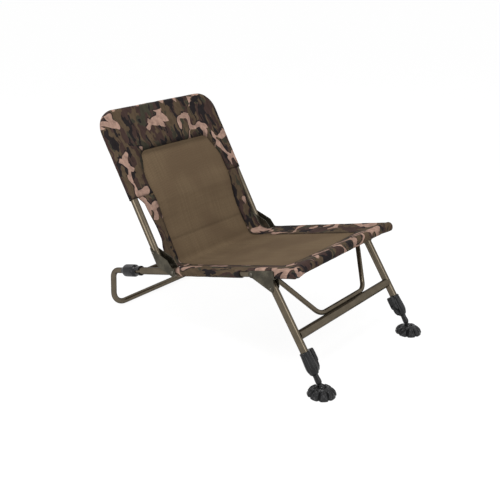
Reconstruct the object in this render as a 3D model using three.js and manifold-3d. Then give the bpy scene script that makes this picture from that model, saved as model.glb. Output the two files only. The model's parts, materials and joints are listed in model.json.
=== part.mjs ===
// Folding low chair: a tilted seat frame, a backrest that folds forward, front legs that fold back
// under the seat and slide out of clamps, swivelling mud feet, and a telescoping rear bar.
// Millimetres, +Z up, +Y towards the back of the chair, +X to the left of a person in the seat.
import * as THREE from "three";
import { mergeVertices } from "three/addons/utils/BufferGeometryUtils.js";
import Module from "manifold-3d";

const wasm = await Module();
wasm.setup();

// Fits and resolution
const GAP = 0.3;
const OVERRUN = 4;
const WELD_DISTANCE = 0.0001;
const TUBE_SIDES = 16;
const BEND_STEPS = 5;
const TURN_SIDES = 24;
const SMALL_SIDES = 12;
const BALL_STEPS = 8;
const CUP_STEPS = 6;

// Frame tubes
const RAIL_SPACING = 460;
const TUBE_DIAMETER = 22;
const TUBE_WALL = 1.5;
const SEAT_TILT = THREE.MathUtils.degToRad(14.8);
const RAIL_FRONT = 146;
const RAIL_REAR = 505;
const FRONT_CROSS_DIAMETER = 20;
const FRONT_CROSS_PLACE = 132;
const FRONT_CROSS_RISE = 2;
const REAR_CROSS_DIAMETER = 20;
const REAR_CROSS_PLACE = 424;
const CAP_HEAD = 3;
const CAP_DEPTH = 14;
const CAP_FIT = 0.2;

// Backrest
const BACK_PIVOT_PLACE = 302;
const BACK_LEAN = THREE.MathUtils.degToRad(16);
const BACK_OFFSET = 45;
const BACK_HEIGHT = 502;
const BACK_BEND = 50;
const BACK_TUBE_START = 52;

// Front legs
const LEG_LEAN = THREE.MathUtils.degToRad(19.8);
const LEG_OFFSET = 42;
const LEG_TOP = 37;
const LEG_LENGTH = 345.5;
const CROSSBAR_DIAMETER = 26;
const CROSSBAR_ABOVE_CLAMP = 48;
const BRACE_DIAMETER = 13;
const BRACE_HALF_WIDTH = 109;
const BRACE_TOP_RUN = 19.4;
const BRACE_TOP_DROP = 40;
const BRACE_TOP_OFFSET = 34;
const BRACE_BEND = 40;
const BRACE_TOP_BEND = 14;

// Elbow brackets, rivets and hinge pins
const CHEEK = 2;
const BACK_BOSS_RADIUS = 13;
const BACK_BOSS_FROM = THREE.MathUtils.degToRad(112);
const BACK_BOSS_TO = THREE.MathUtils.degToRad(302);
const LEG_BOSS_RADIUS = 10;
const LEG_BOSS_SWEEP = THREE.MathUtils.degToRad(189);
const PIN_DIAMETER = 6;
const PIN_HEAD_DIAMETER = 12;
const PIN_HEAD = 2.2;
const RIVET_DIAMETER = 5;
const RIVET_HEAD_DIAMETER = 9;
const RIVET_HEAD = 1.6;
const ELBOW_SIDES = 10;
const BACK_ELBOW_TOP = 90.5;
const BACK_ELBOW_HEEL = 43;
const BACK_ELBOW_NOSE = 1;
const BACK_ELBOW_NOSE_RISE = 38;
const BACK_ELBOW_FRONT = 49;
const BACK_RIVET_RISE = 74;
const LEG_ELBOW_ARM = 77;
const LEG_ELBOW_ARM_TOP = 16;
const LEG_ELBOW_END = 68;
const LEG_ELBOW_TIP = 9;
const LEG_ELBOW_FRONT = 21;
const LEG_ELBOW_FRONT_DROP = 36;
const LEG_ELBOW_WEB_START = 20;
const LEG_RIVET_DROP = 56;

// Leg clamps and inner legs
const STEM_SHOWN = 43.5;
const CLAMP_LENGTH = 57;
const CLAMP_GRIP = 17;
const CLAMP_DIAMETER = 29;
const CLAMP_LIP_DIAMETER = 31;
const CLAMP_LIP = 9;
const CLAMP_NOSE = 17;
const CLAMP_NOSE_DIAMETER = 18;
const CLAMP_STEP = 2;
const LUG_WIDTH = 9;
const LUG_REACH = 22.5;
const LUG_LENGTH = 14;
const LEVER_PIN_DIAMETER = 4;
const LEVER_WIDTH = 17;
const LEVER_THICKNESS = 5;
const LEVER_TIP_RISE = 3;
const LEVER_CURL = 3;
const STEM_DIAMETER = 13;
const GUIDE_DIAMETER = 18;
const GUIDE_LENGTH = 18;
const GUIDE_RISE = 94;
const NECK_DIAMETER = 9.5;
const NECK_LENGTH = 12;
const BALL_DIAMETER = 18;

// Mud feet
const BALL_HEIGHT = 18.5;
const CUP_DIAMETER = 27;
const CUP_FLOOR = 6.5;
const PAD_DIAMETER = 78;
const PAD_RIM = 13;
const PAD_HEIGHT = 24;
const PAD_CROWN_DIAMETER = 34;
const PAD_LOBES = 8;
const PAD_LOBE_DEPTH = 3.4;
const PAD_SIDES = 48;
const PAD_EDGE = 2.5;
const PAD_GROUND_EDGE = 4;
const PAD_DOME_SHARE = 0.55;
const PAD_LOBE_POWER = 0.6;

// Rear bar and its twist collars
const BAR_DIAMETER = 18;
const BAR_ENGAGEMENT = 145;
const BAR_REACH = 582;
const BAR_DROP_LEAN = THREE.MathUtils.degToRad(3);
const BAR_TOP_BEND = 32;
const BAR_FOOT_BEND = 46;
const COLLAR_OVERLAP = 55;
const COLLAR_BEYOND_RAIL = 25;
const COLLAR_GRIP_LENGTH = 53;
const COLLAR_DIAMETER = 40;
const COLLAR_FLARE_DIAMETER = 30;
const COLLAR_WAIST_DIAMETER = 27;
const COLLAR_SLOT = 9;
const COLLAR_SLOT_LENGTH = 20;
const COLLAR_NOSE_DIAMETER = 22;
const COLLAR_TAPER = 12;
const COLLAR_NOSE_TAPER = 18;
const COLLAR_FLUTES = 8;
const COLLAR_FLUTE_DEPTH = 1.2;

// Fabric
const SLEEVE_WALL = 2.2;
const SLEEVE_REAR = 254;
const SEAT_CLOTH_REAR = 263;
const SLEEVE_SIDES = 16;
const NOTCH_FRONT = 80;
const NOTCH_REAR = 42;
const NOTCH_TOP = 8;
const CLOTH = 5;
const SEAT_CLOTH_SIDE_RISE = 4;
const SEAT_CLOTH_SAG = 7;
const SEAT_CLOTH_FRONT_RISE = 7;
const MESH_HALF_WIDTH = 168;
const MESH_FRONT = 82;
const MESH_SHOULDER = 78;
const TOP_PANEL_HEIGHT = 132;
const BACK_MESH_TOP_HALF_WIDTH = 146;
const BACK_MESH_HALF_WIDTH = 172;
const BACK_SEAM = 89;
const BACK_POCKET_END = 240;
const POCKET_FLARE = 26;
const BACK_WAIST_HALF_WIDTH = 205;
const BACK_CLOTH_FORWARD = 11;
const LUMBAR_CREASE_PLACE = 376;
const LUMBAR_CREASE_DROP = 18;
const LUMBAR_EDGE_PLACE = 318;
const LUMBAR_EDGE_RISE = 22;
const LUMBAR_EDGE_POWER = 6;
const CLOTH_ROWS = 10;
const BAND_ROWS = 4;
const STRIP_COLUMNS = 2;
const CLOTH_COLUMNS = 8;

// Derived sizes
const tubeRadius = TUBE_DIAMETER / 2;
const tubeBore = tubeRadius - TUBE_WALL;
const side = RAIL_SPACING / 2;
const sideSigns = { left: 1, right: -1 };
const channelHalf = tubeRadius + GAP;
const cheekOuter = channelHalf + CHEEK;
const sleeveInner = tubeRadius + GAP;
const sleeveOuter = sleeveInner + SLEEVE_WALL;
const clothEdge = side - sleeveOuter - GAP;
const backClothReach = Math.sqrt(sleeveOuter ** 2 - (BACK_CLOTH_FORWARD - CLOTH / 2) ** 2) + GAP;
const backClothEdge = side - backClothReach;
const backMeshTop = BACK_HEIGHT - TOP_PANEL_HEIGHT;
const barRadius = BAR_DIAMETER / 2;
const barInnerEnd = RAIL_REAR - BAR_ENGAGEMENT;
const collarStart = RAIL_REAR - COLLAR_OVERLAP;
const collarEnd = RAIL_REAR + COLLAR_BEYOND_RAIL;
const collarBodyStart = collarEnd - COLLAR_GRIP_LENGTH;
const clampEnd = LEG_LENGTH - STEM_SHOWN;
const clampTop = clampEnd - CLAMP_LENGTH;
const legTubeEnd = clampTop + CLAMP_GRIP;
const guidePlace = legTubeEnd - GUIDE_RISE;
const crossbarDrop = clampTop - CROSSBAR_ABOVE_CLAMP;
const leverPivotZ = -clampEnd + CLAMP_NOSE + LUG_LENGTH / 2;
const leverPivotX = LUG_REACH - LEVER_PIN_DIAMETER;
const legWorldLean = SEAT_TILT + LEG_LEAN;
const pivotHeight = BALL_HEIGHT + LEG_LENGTH * Math.cos(legWorldLean) - LEG_OFFSET * Math.sin(legWorldLean);

const X = new THREE.Vector3(1, 0, 0);
const Y = new THREE.Vector3(0, 1, 0);
const Z = new THREE.Vector3(0, 0, 1);

// Finishes
const finish = (name, color, roughness, metalness) =>
  new THREE.MeshStandardMaterial({ name, color, roughness, metalness });
const finishes = {
  frame: () => finish("frame_paint", 0x574f3e, 0.42, 0.75),
  bracket: () => finish("bracket_paint", 0x4a4436, 0.5, 0.7),
  steel: () => finish("rivet_steel", 0x8c8880, 0.35, 1),
  plastic: () => finish("black_plastic", 0x232324, 0.55, 0),
  rubber: () => finish("foot_rubber", 0x262627, 0.7, 0),
  camo: () => finish("camo_cloth", 0x4a402c, 0.9, 0),
  mesh: () => finish("mesh_cloth", 0x6b5a41, 0.9, 0),
};

// Group shorthand: a pose inside its parent, with its own children.
function place(parent, position, turn = 0) {
  const group = new THREE.Group();
  group.position.set(...position);
  group.rotation.x = turn;
  parent.add(group);
  return group;
}

function piece(parent, name, geometry, material, position = [0, 0, 0]) {
  const mesh = new THREE.Mesh(geometry, material);
  mesh.name = name;
  mesh.position.set(...position);
  parent.add(mesh);
  return mesh;
}

// Outline of a circle as a list of points
function circlePoints(radius, sides) {
  const points = [];
  for (let i = 0; i < sides; i++) {
    const angle = (2 * Math.PI * (i + 0.5)) / sides;
    points.push(new THREE.Vector2(radius * Math.cos(angle), radius * Math.sin(angle)));
  }
  return points;
}

function ringShape(outer, inner, sides) {
  const shape = new THREE.Shape(circlePoints(outer, sides));
  if (inner > 0) {
    shape.holes.push(new THREE.Path(circlePoints(inner, sides)));
  }
  return shape;
}

// A route of straight runs joined by round bends, with one station at each end of a straight run.
class TubeRoute extends THREE.Curve {
  constructor(corners, bends, steps = BEND_STEPS) {
    super();
    this.points = [corners[0]];
    this.tangents = [corners[1].clone().sub(corners[0]).normalize()];
    for (let i = 1; i < corners.length - 1; i++) {
      this.addBend(corners[i - 1], corners[i], corners[i + 1], bends[i - 1], steps);
    }
    const last = corners.length - 1;
    this.points.push(corners[last]);
    this.tangents.push(corners[last].clone().sub(corners[last - 1]).normalize());
  }

  addBend(before, corner, after, radius, steps) {
    const arrive = corner.clone().sub(before).normalize();
    const leave = after.clone().sub(corner).normalize();
    const turn = arrive.angleTo(leave);
    const inward = leave.clone().addScaledVector(arrive, -leave.dot(arrive)).normalize();
    const start = corner.clone().addScaledVector(arrive, -radius * Math.tan(turn / 2));
    for (let k = 0; k <= steps; k++) {
      const angle = (turn * k) / steps;
      this.points.push(
        start.clone()
          .addScaledVector(arrive, radius * Math.sin(angle))
          .addScaledVector(inward, radius * (1 - Math.cos(angle)))
      );
      this.tangents.push(
        arrive.clone().multiplyScalar(Math.cos(angle)).addScaledVector(inward, Math.sin(angle)).normalize()
      );
    }
  }

  get stations() {
    return this.points.length - 1;
  }

  getPoint(t) {
    return this.points[Math.round(t * this.stations)].clone();
  }

  getPointAt(t) {
    return this.getPoint(t);
  }

  getTangentAt(t) {
    return this.tangents[Math.round(t * this.stations)].clone();
  }
}

function bentTube(corners, bends, outer, inner, sides = TUBE_SIDES) {
  const route = new TubeRoute(corners, bends);
  return new THREE.ExtrudeGeometry(ringShape(outer, inner, sides), {
    steps: route.stations,
    bevelEnabled: false,
    extrudePath: route,
  });
}

function straightTube(from, to, outer, inner, sides = TUBE_SIDES) {
  return bentTube([from, to], [], outer, inner, sides);
}

// Solid of revolution about Z; the profile runs round the section, from axis to axis if it meets it.
function turned(profile, sides = TURN_SIDES) {
  const points = profile.map(([radius, height]) => new THREE.Vector2(radius, height));
  if (THREE.ShapeUtils.area(points) < 0) {
    points.reverse();
  }
  if (points[0].x > 0) {
    points.push(points[0].clone());
  }
  return new THREE.LatheGeometry(points, sides).rotateX(Math.PI / 2);
}

// A flat outline given as (y, z) points and extruded along X, centred on X = 0
function slab(points, width) {
  const shape = new THREE.Shape(points.map(([y, z]) => new THREE.Vector2(y, z)));
  const geometry = new THREE.ExtrudeGeometry(shape, { depth: width, bevelEnabled: false });
  geometry.translate(0, 0, -width / 2);
  return geometry.applyMatrix4(new THREE.Matrix4().makeBasis(Y, Z, X));
}

function block(sizeX, sizeY, sizeZ, centre, turn = 0) {
  const geometry = new THREE.BoxGeometry(sizeX, sizeY, sizeZ);
  geometry.translate(...centre);
  return geometry.rotateX(turn);
}

// Cylinder along X
function rod(radius, length, centre, sides = SMALL_SIDES) {
  return new THREE.CylinderGeometry(radius, radius, length, sides).rotateZ(Math.PI / 2).translate(...centre);
}

// Joins and cuts
function solidOf(geometry) {
  const bare = geometry.index ? geometry.toNonIndexed() : geometry.clone();
  bare.deleteAttribute("normal");
  bare.deleteAttribute("uv");
  const merged = mergeVertices(bare, WELD_DISTANCE);
  return new wasm.Manifold(
    new wasm.Mesh({
      numProp: 3,
      vertProperties: new Float32Array(merged.attributes.position.array),
      triVerts: new Uint32Array(merged.index.array),
    })
  );
}

function geometryOf(solid) {
  const mesh = solid.getMesh();
  const geometry = new THREE.BufferGeometry();
  geometry.setAttribute("position", new THREE.BufferAttribute(new Float32Array(mesh.vertProperties), 3));
  geometry.setIndex(new THREE.BufferAttribute(new Uint32Array(mesh.triVerts), 1));
  geometry.computeVertexNormals();
  return geometry;
}

const asSolid = (item) => (item.isBufferGeometry ? solidOf(item) : item);

function carve(base, additions, cuts) {
  let solid = asSolid(base);
  for (const addition of additions) {
    solid = solid.add(asSolid(addition));
  }
  for (const cut of cuts) {
    solid = solid.subtract(asSolid(cut));
  }
  return geometryOf(solid);
}

// A closed cloth solid: a grid of points on its middle surface, thickened along the given normal
function clothSolid(pointAt, normal, thickness, rows = CLOTH_ROWS, columns = CLOTH_COLUMNS) {
  const positions = [];
  const index = [];
  const layer = (rows + 1) * (columns + 1);
  for (const sign of [0.5, -0.5]) {
    for (let r = 0; r <= rows; r++) {
      for (let c = 0; c <= columns; c++) {
        const point = pointAt(r / rows, c / columns).addScaledVector(normal(r / rows), sign * thickness);
        positions.push(point.x, point.y, point.z);
      }
    }
  }
  const at = (r, c, below) => r * (columns + 1) + c + (below ? layer : 0);
  const quad = (a, b, c, d) => index.push(a, b, c, a, c, d);
  for (let r = 0; r < rows; r++) {
    for (let c = 0; c < columns; c++) {
      quad(at(r, c), at(r, c + 1), at(r + 1, c + 1), at(r + 1, c));
      quad(at(r, c, 1), at(r + 1, c, 1), at(r + 1, c + 1, 1), at(r, c + 1, 1));
    }
  }
  for (let c = 0; c < columns; c++) {
    quad(at(0, c), at(0, c, 1), at(0, c + 1, 1), at(0, c + 1));
    quad(at(rows, c), at(rows, c + 1), at(rows, c + 1, 1), at(rows, c, 1));
  }
  for (let r = 0; r < rows; r++) {
    quad(at(r, 0), at(r + 1, 0), at(r + 1, 0, 1), at(r, 0, 1));
    quad(at(r, columns), at(r, columns, 1), at(r + 1, columns, 1), at(r + 1, columns));
  }
  const geometry = new THREE.BufferGeometry();
  geometry.setAttribute("position", new THREE.Float32BufferAttribute(positions, 3));
  geometry.setIndex(index);
  geometry.computeVertexNormals();
  return geometry;
}

const smooth = (value) => THREE.MathUtils.smoothstep(value, 0, 1);

// Frames: the seat frame's Y runs back along the rails and its Z is square to them. The origin is
// the leg pivot on the rail's centre line. The back and leg frames hang from it, the feet from the legs.
const chair = new THREE.Group();
const seatFrame = place(chair, [0, 0, pivotHeight], -SEAT_TILT);
const backFrame = place(seatFrame, [0, BACK_PIVOT_PLACE, 0], -BACK_LEAN);
const legFrame = place(seatFrame, [0, 0, 0], -LEG_LEAN);

// A point of the upright world, given from the leg pivot, in seat frame coordinates
function seatPoint(x, y, height) {
  const rise = height - pivotHeight;
  return new THREE.Vector3(
    x,
    y * Math.cos(SEAT_TILT) - rise * Math.sin(SEAT_TILT),
    y * Math.sin(SEAT_TILT) + rise * Math.cos(SEAT_TILT)
  );
}

// A point of the seat frame's side plane in the leg frame's side plane
function railToLeg(along, up) {
  return [
    along * Math.cos(LEG_LEAN) - up * Math.sin(LEG_LEAN),
    along * Math.sin(LEG_LEAN) + up * Math.cos(LEG_LEAN),
  ];
}

// Side rails with their pin holes
function railGeometry() {
  const tube = straightTube(
    new THREE.Vector3(0, -RAIL_FRONT, 0), new THREE.Vector3(0, RAIL_REAR, 0), tubeRadius, tubeBore);
  const hole = (along) => rod(PIN_DIAMETER / 2 + GAP, TUBE_DIAMETER + OVERRUN, [0, along, 0]);
  return carve(tube, [], [hole(0), hole(BACK_PIVOT_PLACE)]);
}

// Plastic cap in the front end of a rail
function railCapGeometry() {
  return turned([
    [0, -CAP_DEPTH],
    [tubeBore - CAP_FIT, -CAP_DEPTH],
    [tubeBore - CAP_FIT, GAP],
    [tubeRadius, GAP],
    [tubeRadius, GAP + CAP_HEAD / 2],
    [tubeRadius - CAP_HEAD / 2, GAP + CAP_HEAD],
    [0, GAP + CAP_HEAD],
  ], TUBE_SIDES).rotateX(Math.PI / 2);
}

// Cross tube between the rails, its ends shaped round them
function crossTube(diameter, along, rise) {
  const radius = diameter / 2;
  const tube = straightTube(
    new THREE.Vector3(-side, along, rise), new THREE.Vector3(side, along, rise), radius, radius - TUBE_WALL);
  const railAt = (x) => straightTube(
    new THREE.Vector3(x, along - diameter, 0), new THREE.Vector3(x, along + diameter, 0),
    tubeRadius + GAP, 0, TUBE_SIDES * 2);
  return carve(tube, [], [railAt(side), railAt(-side), endCut(1, along, rise), endCut(-1, along, rise)]);
}

// Clears the slivers that a round notch leaves beyond the rail's centre plane
function endCut(sign, along, rise) {
  const reach = TUBE_DIAMETER + OVERRUN;
  return block(reach, reach * 2, reach * 2, [sign * (side + reach / 2 - tubeRadius / 2), along, rise]);
}

// Pin or rivet along X with a flat head outside each cheek of an elbow
function hingePin(diameter, head, headDiameter) {
  const shank = diameter / 2;
  const flange = headDiameter / 2;
  const reach = cheekOuter + GAP;
  return turned([
    [0, -reach - head],
    [flange - head / 2, -reach - head],
    [flange, -reach - head / 2],
    [flange, -reach],
    [shank, -reach],
    [shank, reach],
    [flange, reach],
    [flange, reach + head / 2],
    [flange - head / 2, reach + head],
    [0, reach + head],
  ], SMALL_SIDES).rotateY(Math.PI / 2);
}

// Round part of an elbow's outline about its pivot
function bossArc(radius, from, to) {
  const points = [];
  for (let i = 0; i <= ELBOW_SIDES; i++) {
    const angle = from + ((to - from) * i) / ELBOW_SIDES;
    points.push([radius * Math.cos(angle), radius * Math.sin(angle)]);
  }
  return points;
}

// Keeps the part of a solid that lies within a channel whose rear side is round about the back tube
function roundedBehind(geometry, radius) {
  const reach = 2 * BACK_ELBOW_TOP;
  const bottom = new THREE.Vector3(0, BACK_OFFSET, -reach);
  const top = new THREE.Vector3(0, BACK_OFFSET, reach);
  const round = solidOf(straightTube(bottom, top, radius, 0, TURN_SIDES));
  const front = solidOf(block(2 * radius, reach, 2 * reach, [0, BACK_OFFSET - reach / 2, 0]));
  return solidOf(geometry).intersect(round.add(front));
}

// Channel bracket that carries the back tube on the rail's pin. Its round rear side wraps the tube
// and lands on top of the rail, which stops the recline.
function backElbowGeometry() {
  const rear = BACK_OFFSET + cheekOuter;
  const arc = bossArc(BACK_BOSS_RADIUS, BACK_BOSS_FROM, BACK_BOSS_TO);
  const outline = [
    ...arc,
    [rear, BACK_ELBOW_HEEL],
    [rear, BACK_ELBOW_TOP],
    [BACK_ELBOW_FRONT, BACK_ELBOW_TOP],
    [BACK_ELBOW_NOSE, BACK_ELBOW_NOSE_RISE],
  ];
  const [bossEndY, bossEndZ] = arc[arc.length - 1];
  const inside = [
    [bossEndY - CHEEK, bossEndZ - CHEEK / 2],
    [rear, BACK_ELBOW_HEEL + CHEEK / 2],
    [rear, BACK_ELBOW_TOP + OVERRUN],
    [-cheekOuter - OVERRUN, BACK_ELBOW_TOP + OVERRUN],
    [-cheekOuter - OVERRUN, -cheekOuter - OVERRUN],
    [bossEndY - CHEEK, -cheekOuter - OVERRUN],
  ];
  const reach = 2 * BACK_ELBOW_TOP;
  const railSpace = block(2 * channelHalf, reach, reach, [0, 0, channelHalf - reach / 2], BACK_LEAN);
  const hollow = roundedBehind(slab(inside, 2 * channelHalf), channelHalf);
  return carve(roundedBehind(slab(outline, 2 * cheekOuter), cheekOuter), [], [
    hollow,
    railSpace,
    rod(PIN_DIAMETER / 2 + GAP, 2 * cheekOuter + OVERRUN, [0, 0, 0]),
    rod(RIVET_DIAMETER / 2 + GAP, 2 * cheekOuter + OVERRUN, [0, BACK_OFFSET, BACK_RIVET_RISE]),
  ]);
}

// Bracket that carries a leg between two cheeks. One arm runs forward along the rail, and its web
// under the rail stops the leg when it is open.
function legElbowGeometry() {
  const armEnd = railToLeg(-LEG_ELBOW_ARM, -channelHalf - CHEEK);
  const armTop = railToLeg(-LEG_ELBOW_ARM, LEG_ELBOW_ARM_TOP - CHEEK);
  const armCorner = railToLeg(-LEG_ELBOW_ARM + CHEEK, LEG_ELBOW_ARM_TOP);
  const top = Math.PI / 2 + LEG_LEAN;
  const outline = [
    ...bossArc(LEG_BOSS_RADIUS, top, top - LEG_BOSS_SWEEP),
    [-LEG_OFFSET + CHEEK, -LEG_ELBOW_END + CHEEK],
    [-LEG_OFFSET, -LEG_ELBOW_END],
    [-LEG_OFFSET - LEG_ELBOW_TIP, -LEG_ELBOW_END + LEG_ELBOW_TIP],
    [-LEG_OFFSET - LEG_ELBOW_FRONT, -LEG_ELBOW_FRONT_DROP],
    armEnd,
    armTop,
    armCorner,
  ].reverse();
  const reach = 3 * LEG_ELBOW_ARM;
  const above = block(2 * channelHalf, reach, reach, [0, 0, reach / 2 - channelHalf], LEG_LEAN);
  const below = block(2 * channelHalf, reach, reach, [0, 0, -reach / 2 - channelHalf - CHEEK], LEG_LEAN);
  const behind = block(2 * channelHalf, reach, reach, [0, reach / 2 - LEG_ELBOW_WEB_START, 0], LEG_LEAN);
  return carve(slab(outline, 2 * cheekOuter), [], [
    above,
    below,
    behind,
    rod(PIN_DIAMETER / 2 + GAP, 2 * cheekOuter + OVERRUN, [0, 0, 0]),
    rod(RIVET_DIAMETER / 2 + GAP, 2 * cheekOuter + OVERRUN, [0, -LEG_OFFSET, -LEG_RIVET_DROP]),
  ]);
}

// Backrest tube: two uprights and a top bar in one bend, with rivet holes near its ends
function backTubeGeometry() {
  const corners = [
    new THREE.Vector3(-side, BACK_OFFSET, BACK_TUBE_START),
    new THREE.Vector3(-side, BACK_OFFSET, BACK_HEIGHT),
    new THREE.Vector3(side, BACK_OFFSET, BACK_HEIGHT),
    new THREE.Vector3(side, BACK_OFFSET, BACK_TUBE_START),
  ];
  const tube = bentTube(corners, [BACK_BEND, BACK_BEND], tubeRadius, tubeBore);
  const hole = (x) => rod(
    RIVET_DIAMETER / 2 + GAP, TUBE_DIAMETER + OVERRUN, [x, BACK_OFFSET, BACK_RIVET_RISE]);
  return carve(tube, [], [hole(side), hole(-side)]);
}

function backSleeveGeometry() {
  const corners = [
    new THREE.Vector3(-side, BACK_OFFSET, BACK_POCKET_END),
    new THREE.Vector3(-side, BACK_OFFSET, BACK_HEIGHT),
    new THREE.Vector3(side, BACK_OFFSET, BACK_HEIGHT),
    new THREE.Vector3(side, BACK_OFFSET, BACK_POCKET_END),
  ];
  return bentTube(corners, [BACK_BEND, BACK_BEND], sleeveOuter, sleeveInner, SLEEVE_SIDES);
}

// Widths of the back cloth at a height above the pivot
function backClothHalfWidth(height) {
  const bendStart = BACK_HEIGHT - BACK_BEND;
  const corner = BACK_BEND - backClothReach;
  if (height > bendStart) {
    const rise = Math.min(height - bendStart, corner);
    return side - BACK_BEND + Math.sqrt(corner ** 2 - rise ** 2);
  }
  const flareStart = BACK_POCKET_END - POCKET_FLARE / 2;
  const flare = smooth((height - flareStart) / POCKET_FLARE);
  return BACK_WAIST_HALF_WIDTH + (backClothEdge - BACK_WAIST_HALF_WIDTH) * flare;
}

function backMeshHalfWidth(height) {
  const shoulder = smooth((backMeshTop - height) / MESH_SHOULDER);
  return BACK_MESH_TOP_HALF_WIDTH + (BACK_MESH_HALF_WIDTH - BACK_MESH_TOP_HALF_WIDTH) * shoulder;
}

// Flat cloth panel of the back between two heights and two half widths
function backPanel(bottom, top, rightEdge, leftEdge, rows = CLOTH_ROWS, columns = CLOTH_COLUMNS) {
  const depth = BACK_OFFSET - BACK_CLOTH_FORWARD;
  const pointAt = (r, c) => {
    const height = bottom + (top - bottom) * r;
    const x = THREE.MathUtils.lerp(rightEdge(height), leftEdge(height), c);
    return new THREE.Vector3(x, depth, height);
  };
  return clothSolid(pointAt, () => Y.clone().negate(), CLOTH, rows, columns);
}

// Height of the seat cloth's middle surface above the rails' centre plane
function seatClothRise(x, along) {
  const across = 1 - (x / clothEdge) ** 2;
  const front = smooth((-MESH_FRONT / 2 - along) / (FRONT_CROSS_PLACE - MESH_FRONT / 2));
  return SEAT_CLOTH_SIDE_RISE - SEAT_CLOTH_SAG * across * (1 - front) + SEAT_CLOTH_FRONT_RISE * front;
}

// Outer edge of the seat cloth: at the sleeve, drawn in where the hinge pin's head stands
function seatClothHalfWidth(along) {
  const besideNotch = along < NOTCH_REAR && along > -NOTCH_FRONT - GAP - OVERRUN;
  return besideNotch ? clothEdge - PIN_HEAD - GAP : clothEdge;
}

function seatPanel(front, rear, rightEdge, leftEdge, rows, columns) {
  const pointAt = (r, c) => {
    const along = front + (rear - front) * r;
    const x = THREE.MathUtils.lerp(rightEdge(along), leftEdge(along), c);
    return new THREE.Vector3(x, along, seatClothRise(x, along));
  };
  return clothSolid(pointAt, () => Z.clone(), CLOTH, rows, columns);
}

// Cloth tube round a rail, cut away where the leg elbow turns and where the front hem meets it
function seatSleeveGeometry(sign) {
  const tube = straightTube(
    new THREE.Vector3(0, -RAIL_FRONT, 0), new THREE.Vector3(0, SLEEVE_REAR, 0),
    sleeveOuter, sleeveInner, SLEEVE_SIDES);
  const length = NOTCH_FRONT + NOTCH_REAR;
  const height = 2 * sleeveOuter;
  const middle = (NOTCH_REAR - NOTCH_FRONT) / 2;
  const notch = block(height + OVERRUN, length, height, [0, middle, NOTCH_TOP - height / 2]);
  const hem = FRONT_CROSS_DIAMETER / 2 + SLEEVE_WALL + 2 * GAP;
  const inboard = -sign * sleeveOuter;
  const hemSpace = rod(hem, height, [inboard, -FRONT_CROSS_PLACE, FRONT_CROSS_RISE], TUBE_SIDES);
  const hemFront = block(
    height, height, 2 * hem, [inboard, -FRONT_CROSS_PLACE - sleeveOuter, FRONT_CROSS_RISE]);
  return carve(tube, [], [notch, hemSpace, hemFront]);
}

// Front band: a strip of cloth that ends in the hem round the front cross tube
function frontBandGeometry() {
  const radius = FRONT_CROSS_DIAMETER / 2 + GAP;
  const from = new THREE.Vector3(-clothEdge, -FRONT_CROSS_PLACE, FRONT_CROSS_RISE);
  const to = new THREE.Vector3(clothEdge, -FRONT_CROSS_PLACE, FRONT_CROSS_RISE);
  const strip = seatPanel(
    -FRONT_CROSS_PLACE, -MESH_FRONT - GAP, () => -clothEdge, () => clothEdge, BAND_ROWS, CLOTH_COLUMNS);
  return carve(strip, [straightTube(from, to, radius + SLEEVE_WALL, 0, SLEEVE_SIDES)], [
    rod(radius, RAIL_SPACING, [0, -FRONT_CROSS_PLACE, FRONT_CROSS_RISE], TUBE_SIDES),
  ]);
}

// Cloth that bridges the fold between the back and the seat: deep in the middle, taut at its edges
function lumbarGeometry() {
  const depth = BACK_OFFSET - BACK_CLOTH_FORWARD;
  const height = BACK_SEAM - GAP;
  const start = new THREE.Vector2(
    BACK_PIVOT_PLACE + depth * Math.cos(BACK_LEAN) + height * Math.sin(BACK_LEAN),
    height * Math.cos(BACK_LEAN) - depth * Math.sin(BACK_LEAN)
  );
  const deep = new THREE.Vector2(LUMBAR_CREASE_PLACE, -LUMBAR_CREASE_DROP);
  const taut = new THREE.Vector2(LUMBAR_EDGE_PLACE, LUMBAR_EDGE_RISE);
  const pointAt = (r, c) => {
    const sideShare = 2 * c - 1;
    const x = sideShare * THREE.MathUtils.lerp(BACK_WAIST_HALF_WIDTH, clothEdge, smooth(r));
    const middle = deep.clone().lerp(taut, sideShare ** LUMBAR_EDGE_POWER);
    const seatEnd = new THREE.Vector2(SEAT_CLOTH_REAR + GAP, seatClothRise(x, SEAT_CLOTH_REAR));
    const along = bezier(start.x, middle.x, seatEnd.x, r);
    const up = bezier(start.y, middle.y, seatEnd.y, r);
    return new THREE.Vector3(x, along, up);
  };
  const normal = (r) => {
    const angle = (Math.PI / 2 - BACK_LEAN) * (1 - r);
    return new THREE.Vector3(0, -Math.sin(angle), Math.cos(angle)).negate();
  };
  return clothSolid(pointAt, normal, CLOTH);
}

const bezier = (a, b, c, t) => a * (1 - t) ** 2 + 2 * b * t * (1 - t) + c * t ** 2;

// Outer leg tube with rivet holes
function legGeometry() {
  const tube = straightTube(
    new THREE.Vector3(0, 0, -legTubeEnd), new THREE.Vector3(0, 0, -LEG_TOP), tubeRadius, tubeBore);
  return carve(tube, [], [rod(RIVET_DIAMETER / 2 + GAP, TUBE_DIAMETER + OVERRUN, [0, 0, -LEG_RIVET_DROP])]);
}

function crossbarGeometry() {
  const radius = CROSSBAR_DIAMETER / 2;
  const tube = straightTube(
    new THREE.Vector3(-side, -LEG_OFFSET, -crossbarDrop),
    new THREE.Vector3(side, -LEG_OFFSET, -crossbarDrop),
    radius, radius - TUBE_WALL);
  const legAt = (x) => straightTube(
    new THREE.Vector3(x, -LEG_OFFSET, -crossbarDrop - CROSSBAR_DIAMETER),
    new THREE.Vector3(x, -LEG_OFFSET, -crossbarDrop + CROSSBAR_DIAMETER),
    tubeRadius + GAP, 0, TUBE_SIDES * 2);
  return carve(tube, [], [
    legAt(side),
    legAt(-side),
    endCut(1, -LEG_OFFSET, -crossbarDrop),
    endCut(-1, -LEG_OFFSET, -crossbarDrop),
  ]);
}

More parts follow.
